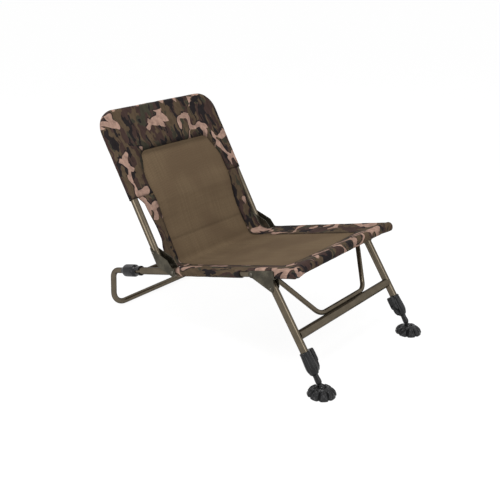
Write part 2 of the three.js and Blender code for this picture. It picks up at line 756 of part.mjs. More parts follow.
// Stiffener: a bent tube that lies on the crossbar and spreads up to the inner cheeks of the leg elbows
function braceGeometry() {
  const reach = side - cheekOuter - GAP;
  const upperHalf = reach - BRACE_TOP_RUN;
  const bottom = -crossbarDrop + CROSSBAR_DIAMETER / 2 + BRACE_DIAMETER / 2 + GAP;
  const corners = [
    [-reach, -BRACE_TOP_OFFSET, -BRACE_TOP_DROP],
    [-upperHalf, -BRACE_TOP_OFFSET, -BRACE_TOP_DROP],
    [-BRACE_HALF_WIDTH, -LEG_OFFSET, bottom],
    [BRACE_HALF_WIDTH, -LEG_OFFSET, bottom],
    [upperHalf, -BRACE_TOP_OFFSET, -BRACE_TOP_DROP],
    [reach, -BRACE_TOP_OFFSET, -BRACE_TOP_DROP],
  ].map((corner) => new THREE.Vector3(...corner));
  const radius = BRACE_DIAMETER / 2;
  const bends = [BRACE_TOP_BEND, BRACE_BEND, BRACE_BEND, BRACE_TOP_BEND];
  return bentTube(corners, bends, radius, radius - TUBE_WALL, SMALL_SIDES);
}

// Clamp body at the foot of an outer leg, with the lug that its lever turns on
function clampGeometry(sign) {
  const body = CLAMP_DIAMETER / 2;
  const lip = CLAMP_LIP_DIAMETER / 2;
  const shell = turned([
    [CLAMP_NOSE_DIAMETER / 2, -clampEnd],
    [body - CLAMP_STEP, -clampEnd + CLAMP_NOSE],
    [body, -clampEnd + CLAMP_NOSE + CLAMP_STEP],
    [body, -clampTop - CLAMP_LIP - CLAMP_STEP],
    [lip, -clampTop - CLAMP_LIP],
    [lip, -clampTop],
    [tubeRadius + GAP, -clampTop],
    [tubeRadius + GAP, -legTubeEnd - GAP],
    [STEM_DIAMETER / 2 + GAP, -legTubeEnd - GAP],
    [STEM_DIAMETER / 2 + GAP, -clampEnd],
  ], TURN_SIDES);
  const inner = body - CLAMP_STEP;
  const length = LUG_REACH - inner;
  const lugCentre = -sign * (inner + length / 2);
  const lug = block(length, LUG_WIDTH, LUG_LENGTH, [lugCentre, 0, leverPivotZ]);
  return carve(shell, [lug], [leverPinRod(sign, LEVER_PIN_DIAMETER / 2 + GAP, LUG_WIDTH + OVERRUN)]);
}

// Cylinder along Y through the lever's pivot
function leverPinRod(sign, radius, length) {
  return new THREE.CylinderGeometry(radius, radius, length, SMALL_SIDES)
    .translate(-sign * leverPivotX, 0, 0)
    .applyMatrix4(new THREE.Matrix4().makeTranslation(0, 0, leverPivotZ));
}

// Cam lever on the inboard side of a clamp: two cheeks round the lug and a plate that lies up the leg
function leverGeometry(sign) {
  const inner = CLAMP_LIP_DIAMETER / 2 + GAP;
  const outer = inner + LEVER_THICKNESS;
  const cheekEnd = LUG_REACH + CHEEK;
  const bottom = leverPivotZ - (leverPivotX - CLAMP_DIAMETER / 2 - GAP);
  const tip = -clampTop + LEVER_TIP_RISE;
  const knee = leverPivotZ + LUG_LENGTH / 2;
  const side2d = [
    [inner, bottom + CHEEK],
    [cheekEnd - CHEEK, bottom],
    [cheekEnd, bottom + CHEEK],
    [cheekEnd, knee],
    [outer, knee + LEVER_THICKNESS],
    [outer, tip - LEVER_CURL],
    [outer + LEVER_CURL, tip],
    [inner + LEVER_CURL, tip],
    [inner, tip - LEVER_CURL],
  ];
  const shape = new THREE.Shape(side2d.map(([x, z]) => new THREE.Vector2(x, z)));
  const plate = new THREE.ExtrudeGeometry(shape, { depth: LEVER_WIDTH, bevelEnabled: false })
    .translate(0, 0, -LEVER_WIDTH / 2)
    .rotateX(Math.PI / 2);
  if (sign > 0) {
    plate.rotateZ(Math.PI);
  }
  const lugSwing = Math.hypot(LUG_REACH - leverPivotX, LUG_LENGTH / 2) + 2 * GAP;
  return carve(plate, [], [
    leverPinRod(sign, lugSwing, LUG_WIDTH + 2 * GAP),
    leverPinRod(sign, LEVER_PIN_DIAMETER / 2 + GAP, LEVER_WIDTH + OVERRUN),
  ]);
}

// Inner leg: guide plug, stem and the ball that the foot swivels on
function innerLegGeometry() {
  const stem = STEM_DIAMETER / 2;
  const neck = NECK_DIAMETER / 2;
  const ball = BALL_DIAMETER / 2;
  const neckAngle = Math.asin(neck / ball);
  const profile = [];
  for (let i = 0; i <= BALL_STEPS; i++) {
    const angle = Math.PI - ((Math.PI - neckAngle) * i) / BALL_STEPS;
    profile.push([ball * Math.sin(angle), -LEG_LENGTH + ball * Math.cos(angle)]);
  }
  profile[0][0] = 0;
  profile.push(
    [neck, -LEG_LENGTH + ball + NECK_LENGTH / 2],
    [stem, -LEG_LENGTH + ball + NECK_LENGTH],
    [stem, -guidePlace],
    [GUIDE_DIAMETER / 2, -guidePlace],
    [GUIDE_DIAMETER / 2, -guidePlace + GUIDE_LENGTH],
    [0, -guidePlace + GUIDE_LENGTH]
  );
  return turned(profile, TUBE_SIDES);
}

// Socket cup under the ball, a hemisphere inside; heights are from the ball's centre
function cupGeometry() {
  const inner = BALL_DIAMETER / 2 + GAP;
  const outer = CUP_DIAMETER / 2;
  const floor = CUP_FLOOR - BALL_HEIGHT;
  const hollow = [];
  for (let i = 0; i <= CUP_STEPS; i++) {
    const angle = (Math.PI / 2) * (i / CUP_STEPS);
    hollow.push([inner * Math.cos(angle), -inner * Math.sin(angle)]);
  }
  hollow[CUP_STEPS][0] = 0;
  return turned([[0, floor], [outer, floor], [outer, -CHEEK / 2], [outer - CHEEK, 0], ...hollow], TUBE_SIDES);
}

// Lobed mud foot: flat underneath, a thick scalloped rim and a low dome with a well for the cup
function padGeometry() {
  const outer = PAD_DIAMETER / 2;
  const crown = PAD_CROWN_DIAMETER / 2;
  const well = CUP_DIAMETER / 2 + GAP;
  const base = -BALL_HEIGHT;
  const profile = [
    [0, 0],
    [outer - PAD_GROUND_EDGE, 0],
    [outer, PAD_GROUND_EDGE],
    [outer, PAD_RIM - PAD_EDGE],
    [outer - PAD_EDGE, PAD_RIM],
    [(outer + crown) / 2, PAD_RIM + (PAD_HEIGHT - PAD_RIM) * PAD_DOME_SHARE],
    [crown, PAD_HEIGHT],
    [well, PAD_HEIGHT],
    [well, CUP_FLOOR - GAP],
    [0, CUP_FLOOR - GAP],
  ].map(([radius, height]) => [radius, base + height]);
  const geometry = turned(profile, PAD_SIDES);
  const position = geometry.attributes.position;
  for (let i = 0; i < position.count; i++) {
    const radius = Math.hypot(position.getX(i), position.getY(i));
    const angle = Math.atan2(position.getY(i), position.getX(i));
    const weight = smooth((radius - crown) / (outer - crown));
    const lobe = Math.abs(Math.cos((PAD_LOBES / 2) * angle)) ** PAD_LOBE_POWER;
    const scallop = (1 - lobe) * PAD_LOBE_DEPTH * weight;
    const factor = radius > 0 ? (radius - scallop) / radius : 1;
    position.setXY(i, position.getX(i) * factor, position.getY(i) * factor);
  }
  return geometry;
}

// Telescoping rear bar: two arms inside the rails, two drops and the tube that lies on the ground
function rearBarGeometry() {
  const cornerY = BAR_REACH * Math.cos(SEAT_TILT);
  const cornerHeight = pivotHeight - BAR_REACH * Math.sin(SEAT_TILT);
  const groundY = cornerY + (cornerHeight - barRadius) * Math.tan(BAR_DROP_LEAN);
  const arm = (sign) => [
    new THREE.Vector3(sign * side, barInnerEnd, 0),
    new THREE.Vector3(sign * side, BAR_REACH, 0),
    seatPoint(sign * side, groundY, barRadius),
  ];
  const corners = [...arm(-1), ...arm(1).reverse()];
  return bentTube(
    corners, [BAR_TOP_BEND, BAR_FOOT_BEND, BAR_FOOT_BEND, BAR_TOP_BEND], barRadius, barRadius - TUBE_WALL);
}

// Twist collar at the rear end of a rail: fluted grip, a waist and a split flare
function collarGeometry() {
  const body = COLLAR_DIAMETER / 2;
  const flare = COLLAR_FLARE_DIAMETER / 2;
  const waist = COLLAR_WAIST_DIAMETER / 2;
  const shell = turned([
    [COLLAR_NOSE_DIAMETER / 2, collarEnd],
    [barRadius + GAP, collarEnd],
    [barRadius + GAP, RAIL_REAR + GAP],
    [tubeRadius + GAP, RAIL_REAR + GAP],
    [tubeRadius + GAP, collarStart],
    [flare, collarStart],
    [flare, collarStart + COLLAR_TAPER / 2],
    [waist, collarBodyStart - COLLAR_TAPER / 2],
    [body - COLLAR_FLUTE_DEPTH, collarBodyStart],
    [body, collarBodyStart + COLLAR_TAPER / 2],
    [body, collarEnd - COLLAR_NOSE_TAPER],
    [body - COLLAR_FLUTE_DEPTH, collarEnd - COLLAR_TAPER],
  ], TURN_SIDES);
  const position = shell.attributes.position;
  for (let i = 0; i < position.count; i++) {
    const radius = Math.hypot(position.getX(i), position.getY(i));
    const angle = Math.atan2(position.getY(i), position.getX(i));
    const weight = radius > body - COLLAR_FLUTE_DEPTH / 2 ? 1 : 0;
    const flute = (1 - Math.cos(COLLAR_FLUTES * angle)) / 2;
    const factor = 1 - (weight * COLLAR_FLUTE_DEPTH * flute) / radius;
    position.setXY(i, position.getX(i) * factor, position.getY(i) * factor);
  }
  const slot = block(
    COLLAR_FLARE_DIAMETER + OVERRUN, COLLAR_SLOT, COLLAR_SLOT_LENGTH,
    [0, 0, collarStart + COLLAR_SLOT_LENGTH / 2 - OVERRUN]);
  return carve(shell, [], [slot]).rotateX(-Math.PI / 2);
}

// Assembly
const hingeShape = () => hingePin(PIN_DIAMETER, PIN_HEAD, PIN_HEAD_DIAMETER);
const rivetShape = () => hingePin(RIVET_DIAMETER, RIVET_HEAD, RIVET_HEAD_DIAMETER);
const clothTop = BACK_HEIGHT - backClothReach;
const outerEdge = (sign) => (height) => sign * backClothHalfWidth(height);
const meshEdge = (sign) => (height) => sign * backMeshHalfWidth(height);
const panelEdge = (sign) => (height) => sign * (backMeshHalfWidth(height) + GAP);
const seatMeshEdge = (sign) => () => sign * MESH_HALF_WIDTH;

piece(seatFrame, "front_cross_tube",
  crossTube(FRONT_CROSS_DIAMETER, -FRONT_CROSS_PLACE, FRONT_CROSS_RISE), finishes.frame());
piece(seatFrame, "rear_cross_tube", crossTube(REAR_CROSS_DIAMETER, REAR_CROSS_PLACE, 0), finishes.frame());
piece(seatFrame, "rear_bar", rearBarGeometry(), finishes.frame());
piece(seatFrame, "seat_mesh_panel",
  seatPanel(-MESH_FRONT, SEAT_CLOTH_REAR, seatMeshEdge(-1), seatMeshEdge(1)), finishes.mesh());
piece(seatFrame, "seat_front_band", frontBandGeometry(), finishes.camo());
piece(seatFrame, "lumbar_panel", lumbarGeometry(), finishes.mesh());
piece(backFrame, "back_tube", backTubeGeometry(), finishes.frame());
piece(backFrame, "back_sleeve", backSleeveGeometry(), finishes.camo());
piece(backFrame, "back_mesh_panel",
  backPanel(BACK_SEAM, backMeshTop, meshEdge(-1), meshEdge(1)), finishes.mesh());
piece(backFrame, "back_top_panel",
  backPanel(backMeshTop + GAP, clothTop, outerEdge(-1), outerEdge(1)), finishes.camo());
piece(legFrame, "crossbar", crossbarGeometry(), finishes.frame());
piece(legFrame, "leg_brace", braceGeometry(), finishes.frame());

for (const [name, sign] of Object.entries(sideSigns)) {
  const x = sign * side;
  const legX = [x, -LEG_OFFSET, 0];
  piece(seatFrame, `rail_${name}`, railGeometry(), finishes.frame(), [x, 0, 0]);
  piece(seatFrame, `rail_cap_${name}`, railCapGeometry(), finishes.plastic(), [x, -RAIL_FRONT, 0]);
  piece(seatFrame, `leg_hinge_pin_${name}`, hingeShape(), finishes.steel(), [x, 0, 0]);
  piece(seatFrame, `back_hinge_pin_${name}`, hingeShape(), finishes.steel(), [x, BACK_PIVOT_PLACE, 0]);
  piece(seatFrame, `rear_collar_${name}`, collarGeometry(), finishes.plastic(), [x, 0, 0]);
  piece(seatFrame, `seat_sleeve_${name}`, seatSleeveGeometry(sign), finishes.camo(), [x, 0, 0]);
  const stripEdges = [() => sign * (MESH_HALF_WIDTH + GAP), (along) => sign * seatClothHalfWidth(along)];
  const sideEdges = [panelEdge(sign), outerEdge(sign)];
  if (sign < 0) {
    stripEdges.reverse();
    sideEdges.reverse();
  }
  piece(seatFrame, `seat_side_strip_${name}`,
    seatPanel(-MESH_FRONT, SEAT_CLOTH_REAR, ...stripEdges, CLOTH_ROWS, STRIP_COLUMNS), finishes.camo());

  piece(backFrame, `back_elbow_${name}`, backElbowGeometry(), finishes.bracket(), [x, 0, 0]);
  piece(backFrame, `back_elbow_rivet_${name}`, rivetShape(), finishes.steel(),
    [x, BACK_OFFSET, BACK_RIVET_RISE]);
  piece(backFrame, `back_side_panel_${name}`,
    backPanel(BACK_SEAM, backMeshTop, ...sideEdges, CLOTH_ROWS, STRIP_COLUMNS), finishes.camo());

  piece(legFrame, `leg_elbow_${name}`, legElbowGeometry(), finishes.bracket(), [x, 0, 0]);
  piece(legFrame, `leg_elbow_rivet_${name}`, rivetShape(), finishes.steel(),
    [x, -LEG_OFFSET, -LEG_RIVET_DROP]);
  piece(legFrame, `leg_${name}`, legGeometry(), finishes.frame(), legX);
  piece(legFrame, `leg_clamp_${name}`, clampGeometry(sign), finishes.plastic(), legX);
  piece(legFrame, `clamp_lever_${name}`, leverGeometry(sign), finishes.plastic(), legX);
  piece(legFrame, `lever_pin_${name}`,
    leverPinRod(sign, LEVER_PIN_DIAMETER / 2, LEVER_WIDTH), finishes.steel(), legX);
  piece(legFrame, `inner_leg_${name}`, innerLegGeometry(), finishes.plastic(), legX);
  const foot = place(legFrame, [x, -LEG_OFFSET, -LEG_LENGTH], legWorldLean);
  piece(foot, `foot_cup_${name}`, cupGeometry(), finishes.plastic());
  piece(foot, `foot_pad_${name}`, padGeometry(), finishes.rubber());
}

// The origin is at the middle of the footprint, on the ground.
chair.updateMatrixWorld(true);
const extent = new THREE.Box3().setFromObject(chair, true);
chair.position.y = -(extent.min.y + extent.max.y) / 2;
chair.updateMatrixWorld(true);

export default chair;
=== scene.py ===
# Low folding chair in camouflage cloth and brown mesh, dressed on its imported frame.
import json
from collections import namedtuple
from functools import cache
from math import asin, atan2, cos, exp, hypot, pi, prod, radians, sin, tan, tau

import bmesh
import bpy
from bpy.props import FloatProperty, FloatVectorProperty, PointerProperty
from bpy.types import Operator, Panel, PropertyGroup
from mathutils import Matrix, Vector, noise


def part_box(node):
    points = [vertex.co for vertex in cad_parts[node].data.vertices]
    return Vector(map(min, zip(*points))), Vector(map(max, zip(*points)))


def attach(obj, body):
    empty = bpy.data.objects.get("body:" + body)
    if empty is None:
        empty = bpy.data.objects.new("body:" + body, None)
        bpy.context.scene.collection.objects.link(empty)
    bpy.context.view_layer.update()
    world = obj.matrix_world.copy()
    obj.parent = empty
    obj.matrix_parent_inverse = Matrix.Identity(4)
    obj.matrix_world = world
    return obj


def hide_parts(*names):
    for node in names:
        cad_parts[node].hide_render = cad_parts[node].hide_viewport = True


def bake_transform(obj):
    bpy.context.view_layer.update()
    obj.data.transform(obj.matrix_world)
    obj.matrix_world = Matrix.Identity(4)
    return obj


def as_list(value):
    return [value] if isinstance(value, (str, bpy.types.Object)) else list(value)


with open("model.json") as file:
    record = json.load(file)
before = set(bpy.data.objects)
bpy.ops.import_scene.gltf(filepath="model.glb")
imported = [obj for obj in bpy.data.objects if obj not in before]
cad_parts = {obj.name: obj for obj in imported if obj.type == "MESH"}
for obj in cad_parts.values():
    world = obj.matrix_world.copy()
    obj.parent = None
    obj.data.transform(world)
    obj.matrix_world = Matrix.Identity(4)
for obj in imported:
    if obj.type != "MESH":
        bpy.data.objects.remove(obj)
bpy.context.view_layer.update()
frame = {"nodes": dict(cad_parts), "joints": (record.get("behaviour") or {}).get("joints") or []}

bl_info = {
    "name": "Folding low chair",
    "version": (1, 0, 0),
    "blender": (4, 5, 0),
    "location": "View3D > Sidebar > Chair",
    "description": "Builds the cloth, tubes, brackets, clamps, feet and collars of a folding low chair",
    "category": "Object",
}

JOINTS = {joint["name"]: joint for joint in frame["joints"]}
SIDES = {"left": 1, "right": -1}
X = Vector((1, 0, 0))

# Finish of the meshes
TUBE_SIDES = 40
TURN_SIDES = 48
CLAMP_SIDES = 96
FOOT_SIDES = 144
RIVET_SIDES = 24
BEND_STEPS = 14
SHARP = radians(33)
WELD = 1e-5
SOFT_EDGE = 0.0008


def axes_matrix(origin, y_axis):
    """A frame with X across the chair, Y along y_axis and Z square to both."""
    y = Vector(y_axis).normalized()
    turn = Matrix((X, y, X.cross(y))).transposed().to_4x4()
    return Matrix.Translation(origin) @ turn


def vec(*parts):
    return Vector(parts)


def mm(*points):
    """Points given in millimetres, as metres."""
    return [tuple(value / 1000 for value in point) for point in points]


def srgb(*parts):
    """A colour read from 0 to 255, as the linear values that the shaders take."""
    shares = [part / 255 for part in parts]
    return (*(s / 12.92 if s <= 0.04045 else ((s + 0.055) / 1.055) ** 2.4 for s in shares), 1.0)


def length(name, default, description):
    return FloatProperty(name=name, default=default, description=description, unit="LENGTH", precision=4)


def colour(name, default, description):
    return FloatVectorProperty(
        name=name, default=default, description=description, subtype="COLOR", size=4, min=0, max=1)


class ChairFrameSizes(PropertyGroup):
    """Sizes of the frame's tubes and of what turns on them."""

    rail_spacing: length("Rail spacing", 0.46, "Between the centres of the two side rails")
    tube: length("Tube diameter", 0.022, "Rails, outer legs and back tube")
    rail_front: length("Rail front", 0.146, "From the leg pivot to the rail's front end")
    rail_rear: length("Rail rear", 0.505, "From the leg pivot to the rail's rear end")
    back_place: length("Back pivot", 0.302, "From the leg pivot to the back pivot along the rail")
    back_offset: length("Back tube offset", 0.045, "Back tube behind its pivot")
    back_height: length("Back height", 0.5005, "From the back pivot to the top bar")
    back_bend: length("Back bend", 0.050, "Bend radius of the back tube")
    leg_offset: length("Leg offset", 0.042, "Leg tube in front of its pivot")
    leg_length: length("Leg length", 0.3455, "From the leg pivot to the foot's ball, along the leg")
    bar: length("Rear bar diameter", 0.018, "Telescoping rear bar")
    bar_reach: length("Rear bar reach", 0.582, "From the leg pivot to the rear bar's upper bend")
    foot: length("Foot diameter", 0.078, "Mud foot across its lobes")


class ChairClothSizes(PropertyGroup):
    """Sizes of the cloth panels and pockets."""

    cloth: length("Cloth thickness", 0.0016, "Camouflage cloth with its coating")
    mesh: length("Mesh thickness", 0.0022, "Knitted spacer mesh")
    sleeve: length("Sleeve radius", 0.0132, "Middle of the cloth that wraps a tube")
    forward: length("Cloth forward", 0.011, "Back cloth in front of the back tube's axis")
    mesh_half: length("Back mesh half width", 0.170, "Half width of the back's mesh")
    mesh_top_half: length("Mesh top half width", 0.146, "Half width of the back's mesh at its top")
    mesh_top: length("Mesh top", 0.371, "Height of the back mesh above the back pivot")
    seat_mesh_half: length("Seat mesh half width", 0.167, "Half width of the seat's mesh")
    seat_mesh_front: length("Seat mesh front", 0.075, "Mesh front edge before the leg pivot")
    waist: length("Waist half width", 0.205, "Half width of the cloth below the back pockets")
    pocket_end: length("Pocket end", 0.24, "Lower end of the back pockets above the back pivot")
    band_seam: length("Band seam", 0.091, "Height of the back mesh's lower seam above the back pivot")
    sleeve_end: length("Sleeve end", 0.286, "Rear end of the seat's sleeves behind the leg pivot")
    stitch: length("Stitch length", 0.0032, "Length of one visible stitch")


class ChairColours(PropertyGroup):
    """Colours of the cloth, metal and plastics."""

    olive: colour("Olive brown", srgb(86, 72, 57), "Camouflage ground")
    purple: colour("Purple brown", srgb(66, 51, 47), "Camouflage second colour")
    green: colour("Grey green", srgb(62, 59, 49), "Camouflage third colour")
    black: colour("Near black", srgb(36, 32, 33), "Camouflage darkest colour")
    tan: colour("Pink tan", srgb(172, 141, 126), "Camouflage lightest colour")
    mesh: colour("Mesh brown", srgb(123, 104, 81), "Knitted mesh")
    frame: colour("Bronze", srgb(101, 92, 78), "Painted tubes")
    bracket: colour("Bracket bronze", srgb(84, 79, 67), "Pressed brackets")
    # Rivets and pins: real steel, darkened further as painted shade of the recessed pins
    steel: colour("Steel", srgb(96, 92, 84), "Rivets and pins")
    plastic: colour("Black nylon", srgb(20, 20, 21), "Clamps, levers and collars")
    rubber: colour("Black rubber", srgb(25, 25, 26), "Mud feet")
    floor: colour("Floor", (0.9, 0.9, 0.9, 1.0), "Studio floor")


VALUES = {"chair_frame": ChairFrameSizes, "chair_cloth": ChairClothSizes, "chair_colours": ChairColours}


def sizes():
    return bpy.context.scene.chair_frame


def cloth():
    return bpy.context.scene.chair_cloth


def colours():
    return bpy.context.scene.chair_colours


LEG_PIVOT = Vector(JOINTS["leg_fold"]["pos_m"])
BACK_PIVOT = Vector(JOINTS["back_fold"]["pos_m"])
RAIL_DIRECTION = JOINTS["rear_bar_slide"]["axis"]
BACK_LEAN = radians(16)
RAIL = axes_matrix(LEG_PIVOT, RAIL_DIRECTION)
BACK = axes_matrix(BACK_PIVOT, RAIL_DIRECTION) @ Matrix.Rotation(-BACK_LEAN, 4, "X")
LEG = axes_matrix(LEG_PIVOT, X.cross(Vector(JOINTS["leg_extend_left"]["axis"])))


# Pieces
@cache
def built(build):
    """What a function builds, made once."""
    return build()


def look(kind):
    return built(FINISHES[kind][1])


def new_object(name, bm, material):
    mesh = bpy.data.meshes.new(name)
    bm.to_mesh(mesh)
    bm.free()
    mesh.materials.append(material)
    piece = bpy.data.objects.new(name, mesh)
    bpy.context.scene.collection.objects.link(piece)
    return piece


def finish_piece(bm, name, kind, body=None, nodes=(), recalc=True):
    """Turns a bmesh into a piece that rides on a body and stands for its CAD nodes."""
    if recalc:
        bmesh.ops.recalc_face_normals(bm, faces=bm.faces)
    for face in bm.faces:
        face.smooth = True
    for edge in bm.edges:
        edge.smooth = edge.calc_face_angle(0) < SHARP
    piece = new_object(name, bm, look(kind))
    if body:
        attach(piece, body)
    if nodes:
        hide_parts(*nodes)
    return piece


def copied(node):
    """A merged copy of a CAD node's mesh."""
    bm = bmesh.new()
    bm.from_mesh(frame["nodes"][node].data)
    bmesh.ops.remove_doubles(bm, verts=bm.verts, dist=WELD)
    bmesh.ops.dissolve_limit(bm, angle_limit=radians(1), verts=bm.verts, edges=bm.edges)
    return bm


def rounded(piece, width=SOFT_EDGE):
    """Rounds a piece's sharp edges."""
    bevel = piece.modifiers.new("Rounded edges", "BEVEL")
    bevel.width = width
    bevel.segments = 2
    bevel.limit_method = "ANGLE"
    bevel.angle_limit = SHARP
    return piece


def edges_of(geom):
    return [item for item in geom if isinstance(item, bmesh.types.BMEdge)]


def verts_of(geom):
    return [item for item in geom if isinstance(item, bmesh.types.BMVert)]


def draw_out(bm, edges, shift):
    geom = bmesh.ops.extrude_edge_only(bm, edges=edges)["geom"]
    bmesh.ops.translate(bm, vec=shift, verts=verts_of(geom))
    return edges_of(geom)


def spin(bm, geom, centre, axis, angle, steps, merge=False):
    return bmesh.ops.spin(
        bm, geom=geom, cent=centre, axis=axis, dvec=(0, 0, 0), angle=angle, steps=steps, use_merge=merge,
        use_normal_flip=False, use_duplicate=False)["geom_last"]


def sweep(bm, corners, bends, radius):
    """Draws a circle out along straight runs, spins it round each bend and closes both ends."""
    heading = (corners[1] - corners[0]).normalized()
    ring = bmesh.ops.create_circle(bm, radius=radius, segments=TUBE_SIDES)["verts"]
    turn = heading.to_track_quat("Z", "Y").to_matrix().to_4x4()
    bmesh.ops.transform(bm, matrix=Matrix.Translation(corners[0]) @ turn, verts=ring)
    first = list({edge for vert in ring for edge in vert.link_edges})
    edges, point = first, corners[0].copy()
    for corner, after, bend in zip(corners[1:], corners[2:], bends):
        leave = (after - corner).normalized()
        angle = heading.angle(leave)
        reach = bend * tan(angle / 2)
        edges = draw_out(bm, edges, corner - heading * reach - point)
        inward = (leave - heading * leave.dot(heading)).normalized()
        verts = list({vert for edge in edges for vert in edge.verts})
        edges = edges_of(spin(bm, edges + verts, corner - heading * reach + inward * bend,
                              heading.cross(leave).normalized(), angle, BEND_STEPS))
        point = corner + leave * reach
        heading = leave
    for end in (first, draw_out(bm, edges, corners[-1] - point)):
        bmesh.ops.edgeloop_fill(bm, edges=end)


def lathe(bm, profile, matrix, sides=TURN_SIDES):
    """Spins a profile of (radius, height) points round Z, then places it."""
    before = set(bm.verts)
    verts = [bm.verts.new((radius, 0, height)) for radius, height in profile]
    edges = [bm.edges.new(pair) for pair in zip(verts, verts[1:])]
    spin(bm, verts + edges, (0, 0, 0), (0, 0, 1), tau, sides, True)
    bmesh.ops.remove_doubles(bm, verts=[vert for vert in bm.verts if vert not in before], dist=WELD)
    new = [vert for vert in bm.verts if vert not in before]
    bmesh.ops.transform(bm, matrix=matrix, verts=new)
    return new


def tube_piece(name, corners, bends, radius, body, node, matrix):
    bm = bmesh.new()
    sweep(bm, [matrix @ Vector(corner) for corner in corners], bends, radius)
    finish_piece(bm, name, "frame", body, (node,))


# Materials
class Nodes:
    """Short calls for the shader nodes of one tree."""

    def __init__(self, tree):
        self.tree = tree

    def fill(self, node, values):
        """Links or sets a node's inputs."""
        for key, value in values.items():
            if isinstance(value, bpy.types.NodeSocket):
                self.tree.links.new(value, node.inputs[key])
            else:
                node.inputs[key].default_value = value

    def add(self, kind, values, **settings):
        """Adds a node, sets its options, fills its inputs and gives its outputs."""
        node = self.tree.nodes.new("ShaderNode" + kind)
        for key, value in settings.items():
            setattr(node, key, value)
        self.fill(node, values)
        return node.outputs

    def effects(self, build, values):
        """Outputs of a shared group of effects."""
        return self.add("Group", values, node_tree=built(build))

    def math(self, operation, *values):
        return self.add("Math", dict(enumerate(values)), operation=operation)[0]

    def times(self, first, second):
        return self.math("MULTIPLY", first, second)

    def minus(self, first, second):
        return self.math("SUBTRACT", first, second)

    def mix(self, factor, first, second, blend="MIX"):
        return self.add("Mix", {0: factor, 6: first, 7: second}, data_type="RGBA", blend_type=blend)[2]

    def shade(self, tone, value):
        """A colour multiplied by a value."""
        grey = self.add("CombineColor", {0: value, 1: value, 2: value})[0]
        return self.mix(1.0, tone, grey, "MULTIPLY")

    def step(self, value, low, high, out_low=0.0, out_high=1.0):
        """Value mapped from low..high, with a soft step between."""
        return self.add(
            "MapRange", {"Value": value, "From Min": low, "From Max": high, "To Min": out_low, "To Max": out_high},
            interpolation_type="SMOOTHSTEP")["Result"]

    def noise(self, vector, scale, detail=2.0, roughness=0.5, out="Fac"):
        return self.add(
            "TexNoise", {"Vector": vector, "Scale": scale, "Detail": detail, "Roughness": roughness})[out]

    def moved(self, vector, move, turn=0.0, stretch=(1, 1, 1)):
        return self.add(
            "Mapping", {"Vector": vector, "Location": move, "Rotation": (0, 0, turn), "Scale": stretch})[0]


def new_group(name, inputs, outputs):
    """A shader node group with named sockets of the given kinds."""
    tree = bpy.data.node_groups.new(name, "ShaderNodeTree")
    for in_out, sockets in (("INPUT", inputs), ("OUTPUT", outputs)):
        for socket, kind in sockets.items():
            tree.interface.new_socket(name=socket, in_out=in_out, socket_type="NodeSocket" + kind)
    return Nodes(tree), tree.nodes.new("NodeGroupInput").outputs, tree.nodes.new("NodeGroupOutput")


def camouflage_group():
    """Five-colour print of round-ended blots and broken ribbons."""
    tones = ("Olive", "Purple", "Green", "Black", "Tan")
    nodes, source, target = new_group(
        "Camouflage print", {"Vector": "Vector", **dict.fromkeys(tones, "Color")}, {"Color": "Color"})
    vector = source["Vector"]

    def bent(share, scale, detail):
        """The place in the cloth, pushed aside by a slow noise."""
        push = nodes.noise(vector, scale, detail, out="Color")
        return nodes.add("Mix", {0: share, 4: vector, 5: push}, data_type="VECTOR")[1]

    warped, curved = bent(0.022, 28.0, 2.0), bent(0.03, 30.0, 0.0)

    def patches(move, turn, stretch, scale, detail, cut, soft=0.012):
        field = nodes.noise(nodes.moved(warped, (*move, 0), turn, (*stretch, 1)), scale, detail, 0.55)
        return nodes.step(field, cut, cut + soft)

    def branches(move, width):
        """Round-ended branching blots of the lightest colour."""
        place = nodes.moved(curved, (3.35 + move[0], 6.12 + move[1], 0), -0.5, (1.1, 0.85, 1))
        away = nodes.add("TexVoronoi", {"Vector": place, "Scale": 19.0, "Randomness": 1.0},
                         voronoi_dimensions="2D", feature="DISTANCE_TO_EDGE")["Distance"]
        limb = nodes.minus(1.0, nodes.math("DIVIDE", away, width))
        kept = nodes.times(nodes.minus(nodes.noise(nodes.moved(place, (0.37, 0.11, 0)), 18, 0), 0.565), 7.0)
        return nodes.step(nodes.math("SMOOTH_MIN", limb, kept, 0.7), 0.0, 0.08)

    limbs = branches((0, 0), 0.19)
    ring = nodes.math("MAXIMUM", branches((0.0036, -0.0026), 0.2), branches((-0.002, -0.003), 0.2))
    ragged = patches((0.9, 3.3), 0.3, (1.3, 0.8), 60, 2, 0.42, 0.05)
    streaks = nodes.noise(nodes.moved(vector, (0, 0, 0), 0.15, (2.6, 1, 1)), 44, 4, 0.65)
    tone = source["Olive"]
    for name, *patch in (
            ("Purple", (3.1, 0.7), 0.2, (1.6, 0.6), 22, 2, 0.51),
            ("Green", (7.3, 4.1), -0.3, (1.5, 0.7), 23, 2, 0.58),
            ("Black", (1.9, 8.6), 0.3, (1.6, 0.6), 28, 2.5, 0.565)):
        tone = nodes.mix(patches(*patch), tone, source[name])
    tone = nodes.mix(nodes.times(ring, nodes.times(ragged, 0.9)), tone, source["Black"])
    worn = nodes.step(nodes.noise(nodes.moved(vector, (2.2, 1.4, 0)), 60, 3, 0.6), 0.35, 0.6, 0.7, 1.0)
    tone = nodes.mix(nodes.times(limbs, worn), tone, source["Tan"])
    nodes.fill(target, {"Color": nodes.shade(tone, nodes.step(streaks, 0.3, 0.7, 0.82, 1.12))})
    return nodes.tree


def weave_group():
    """Plain weave: crossing threads as a height, and a slow change of shade."""
    nodes, source, target = new_group(
        "Cloth weave", {"Vector": "Vector", "Threads": "Float"}, {"Height": "Float", "Shade": "Float"})
    values = {"Vector": source["Vector"], "Scale": source["Threads"], "Distortion": 0.6, "Detail": 1.0}
    waves = [nodes.add("TexWave", values, bands_direction=way)["Fac"] for way in ("X", "Y")]
    nodes.fill(target, {"Height": nodes.times(*waves), "Shade": nodes.noise(source["Vector"], 14, 3)})
    return nodes.tree


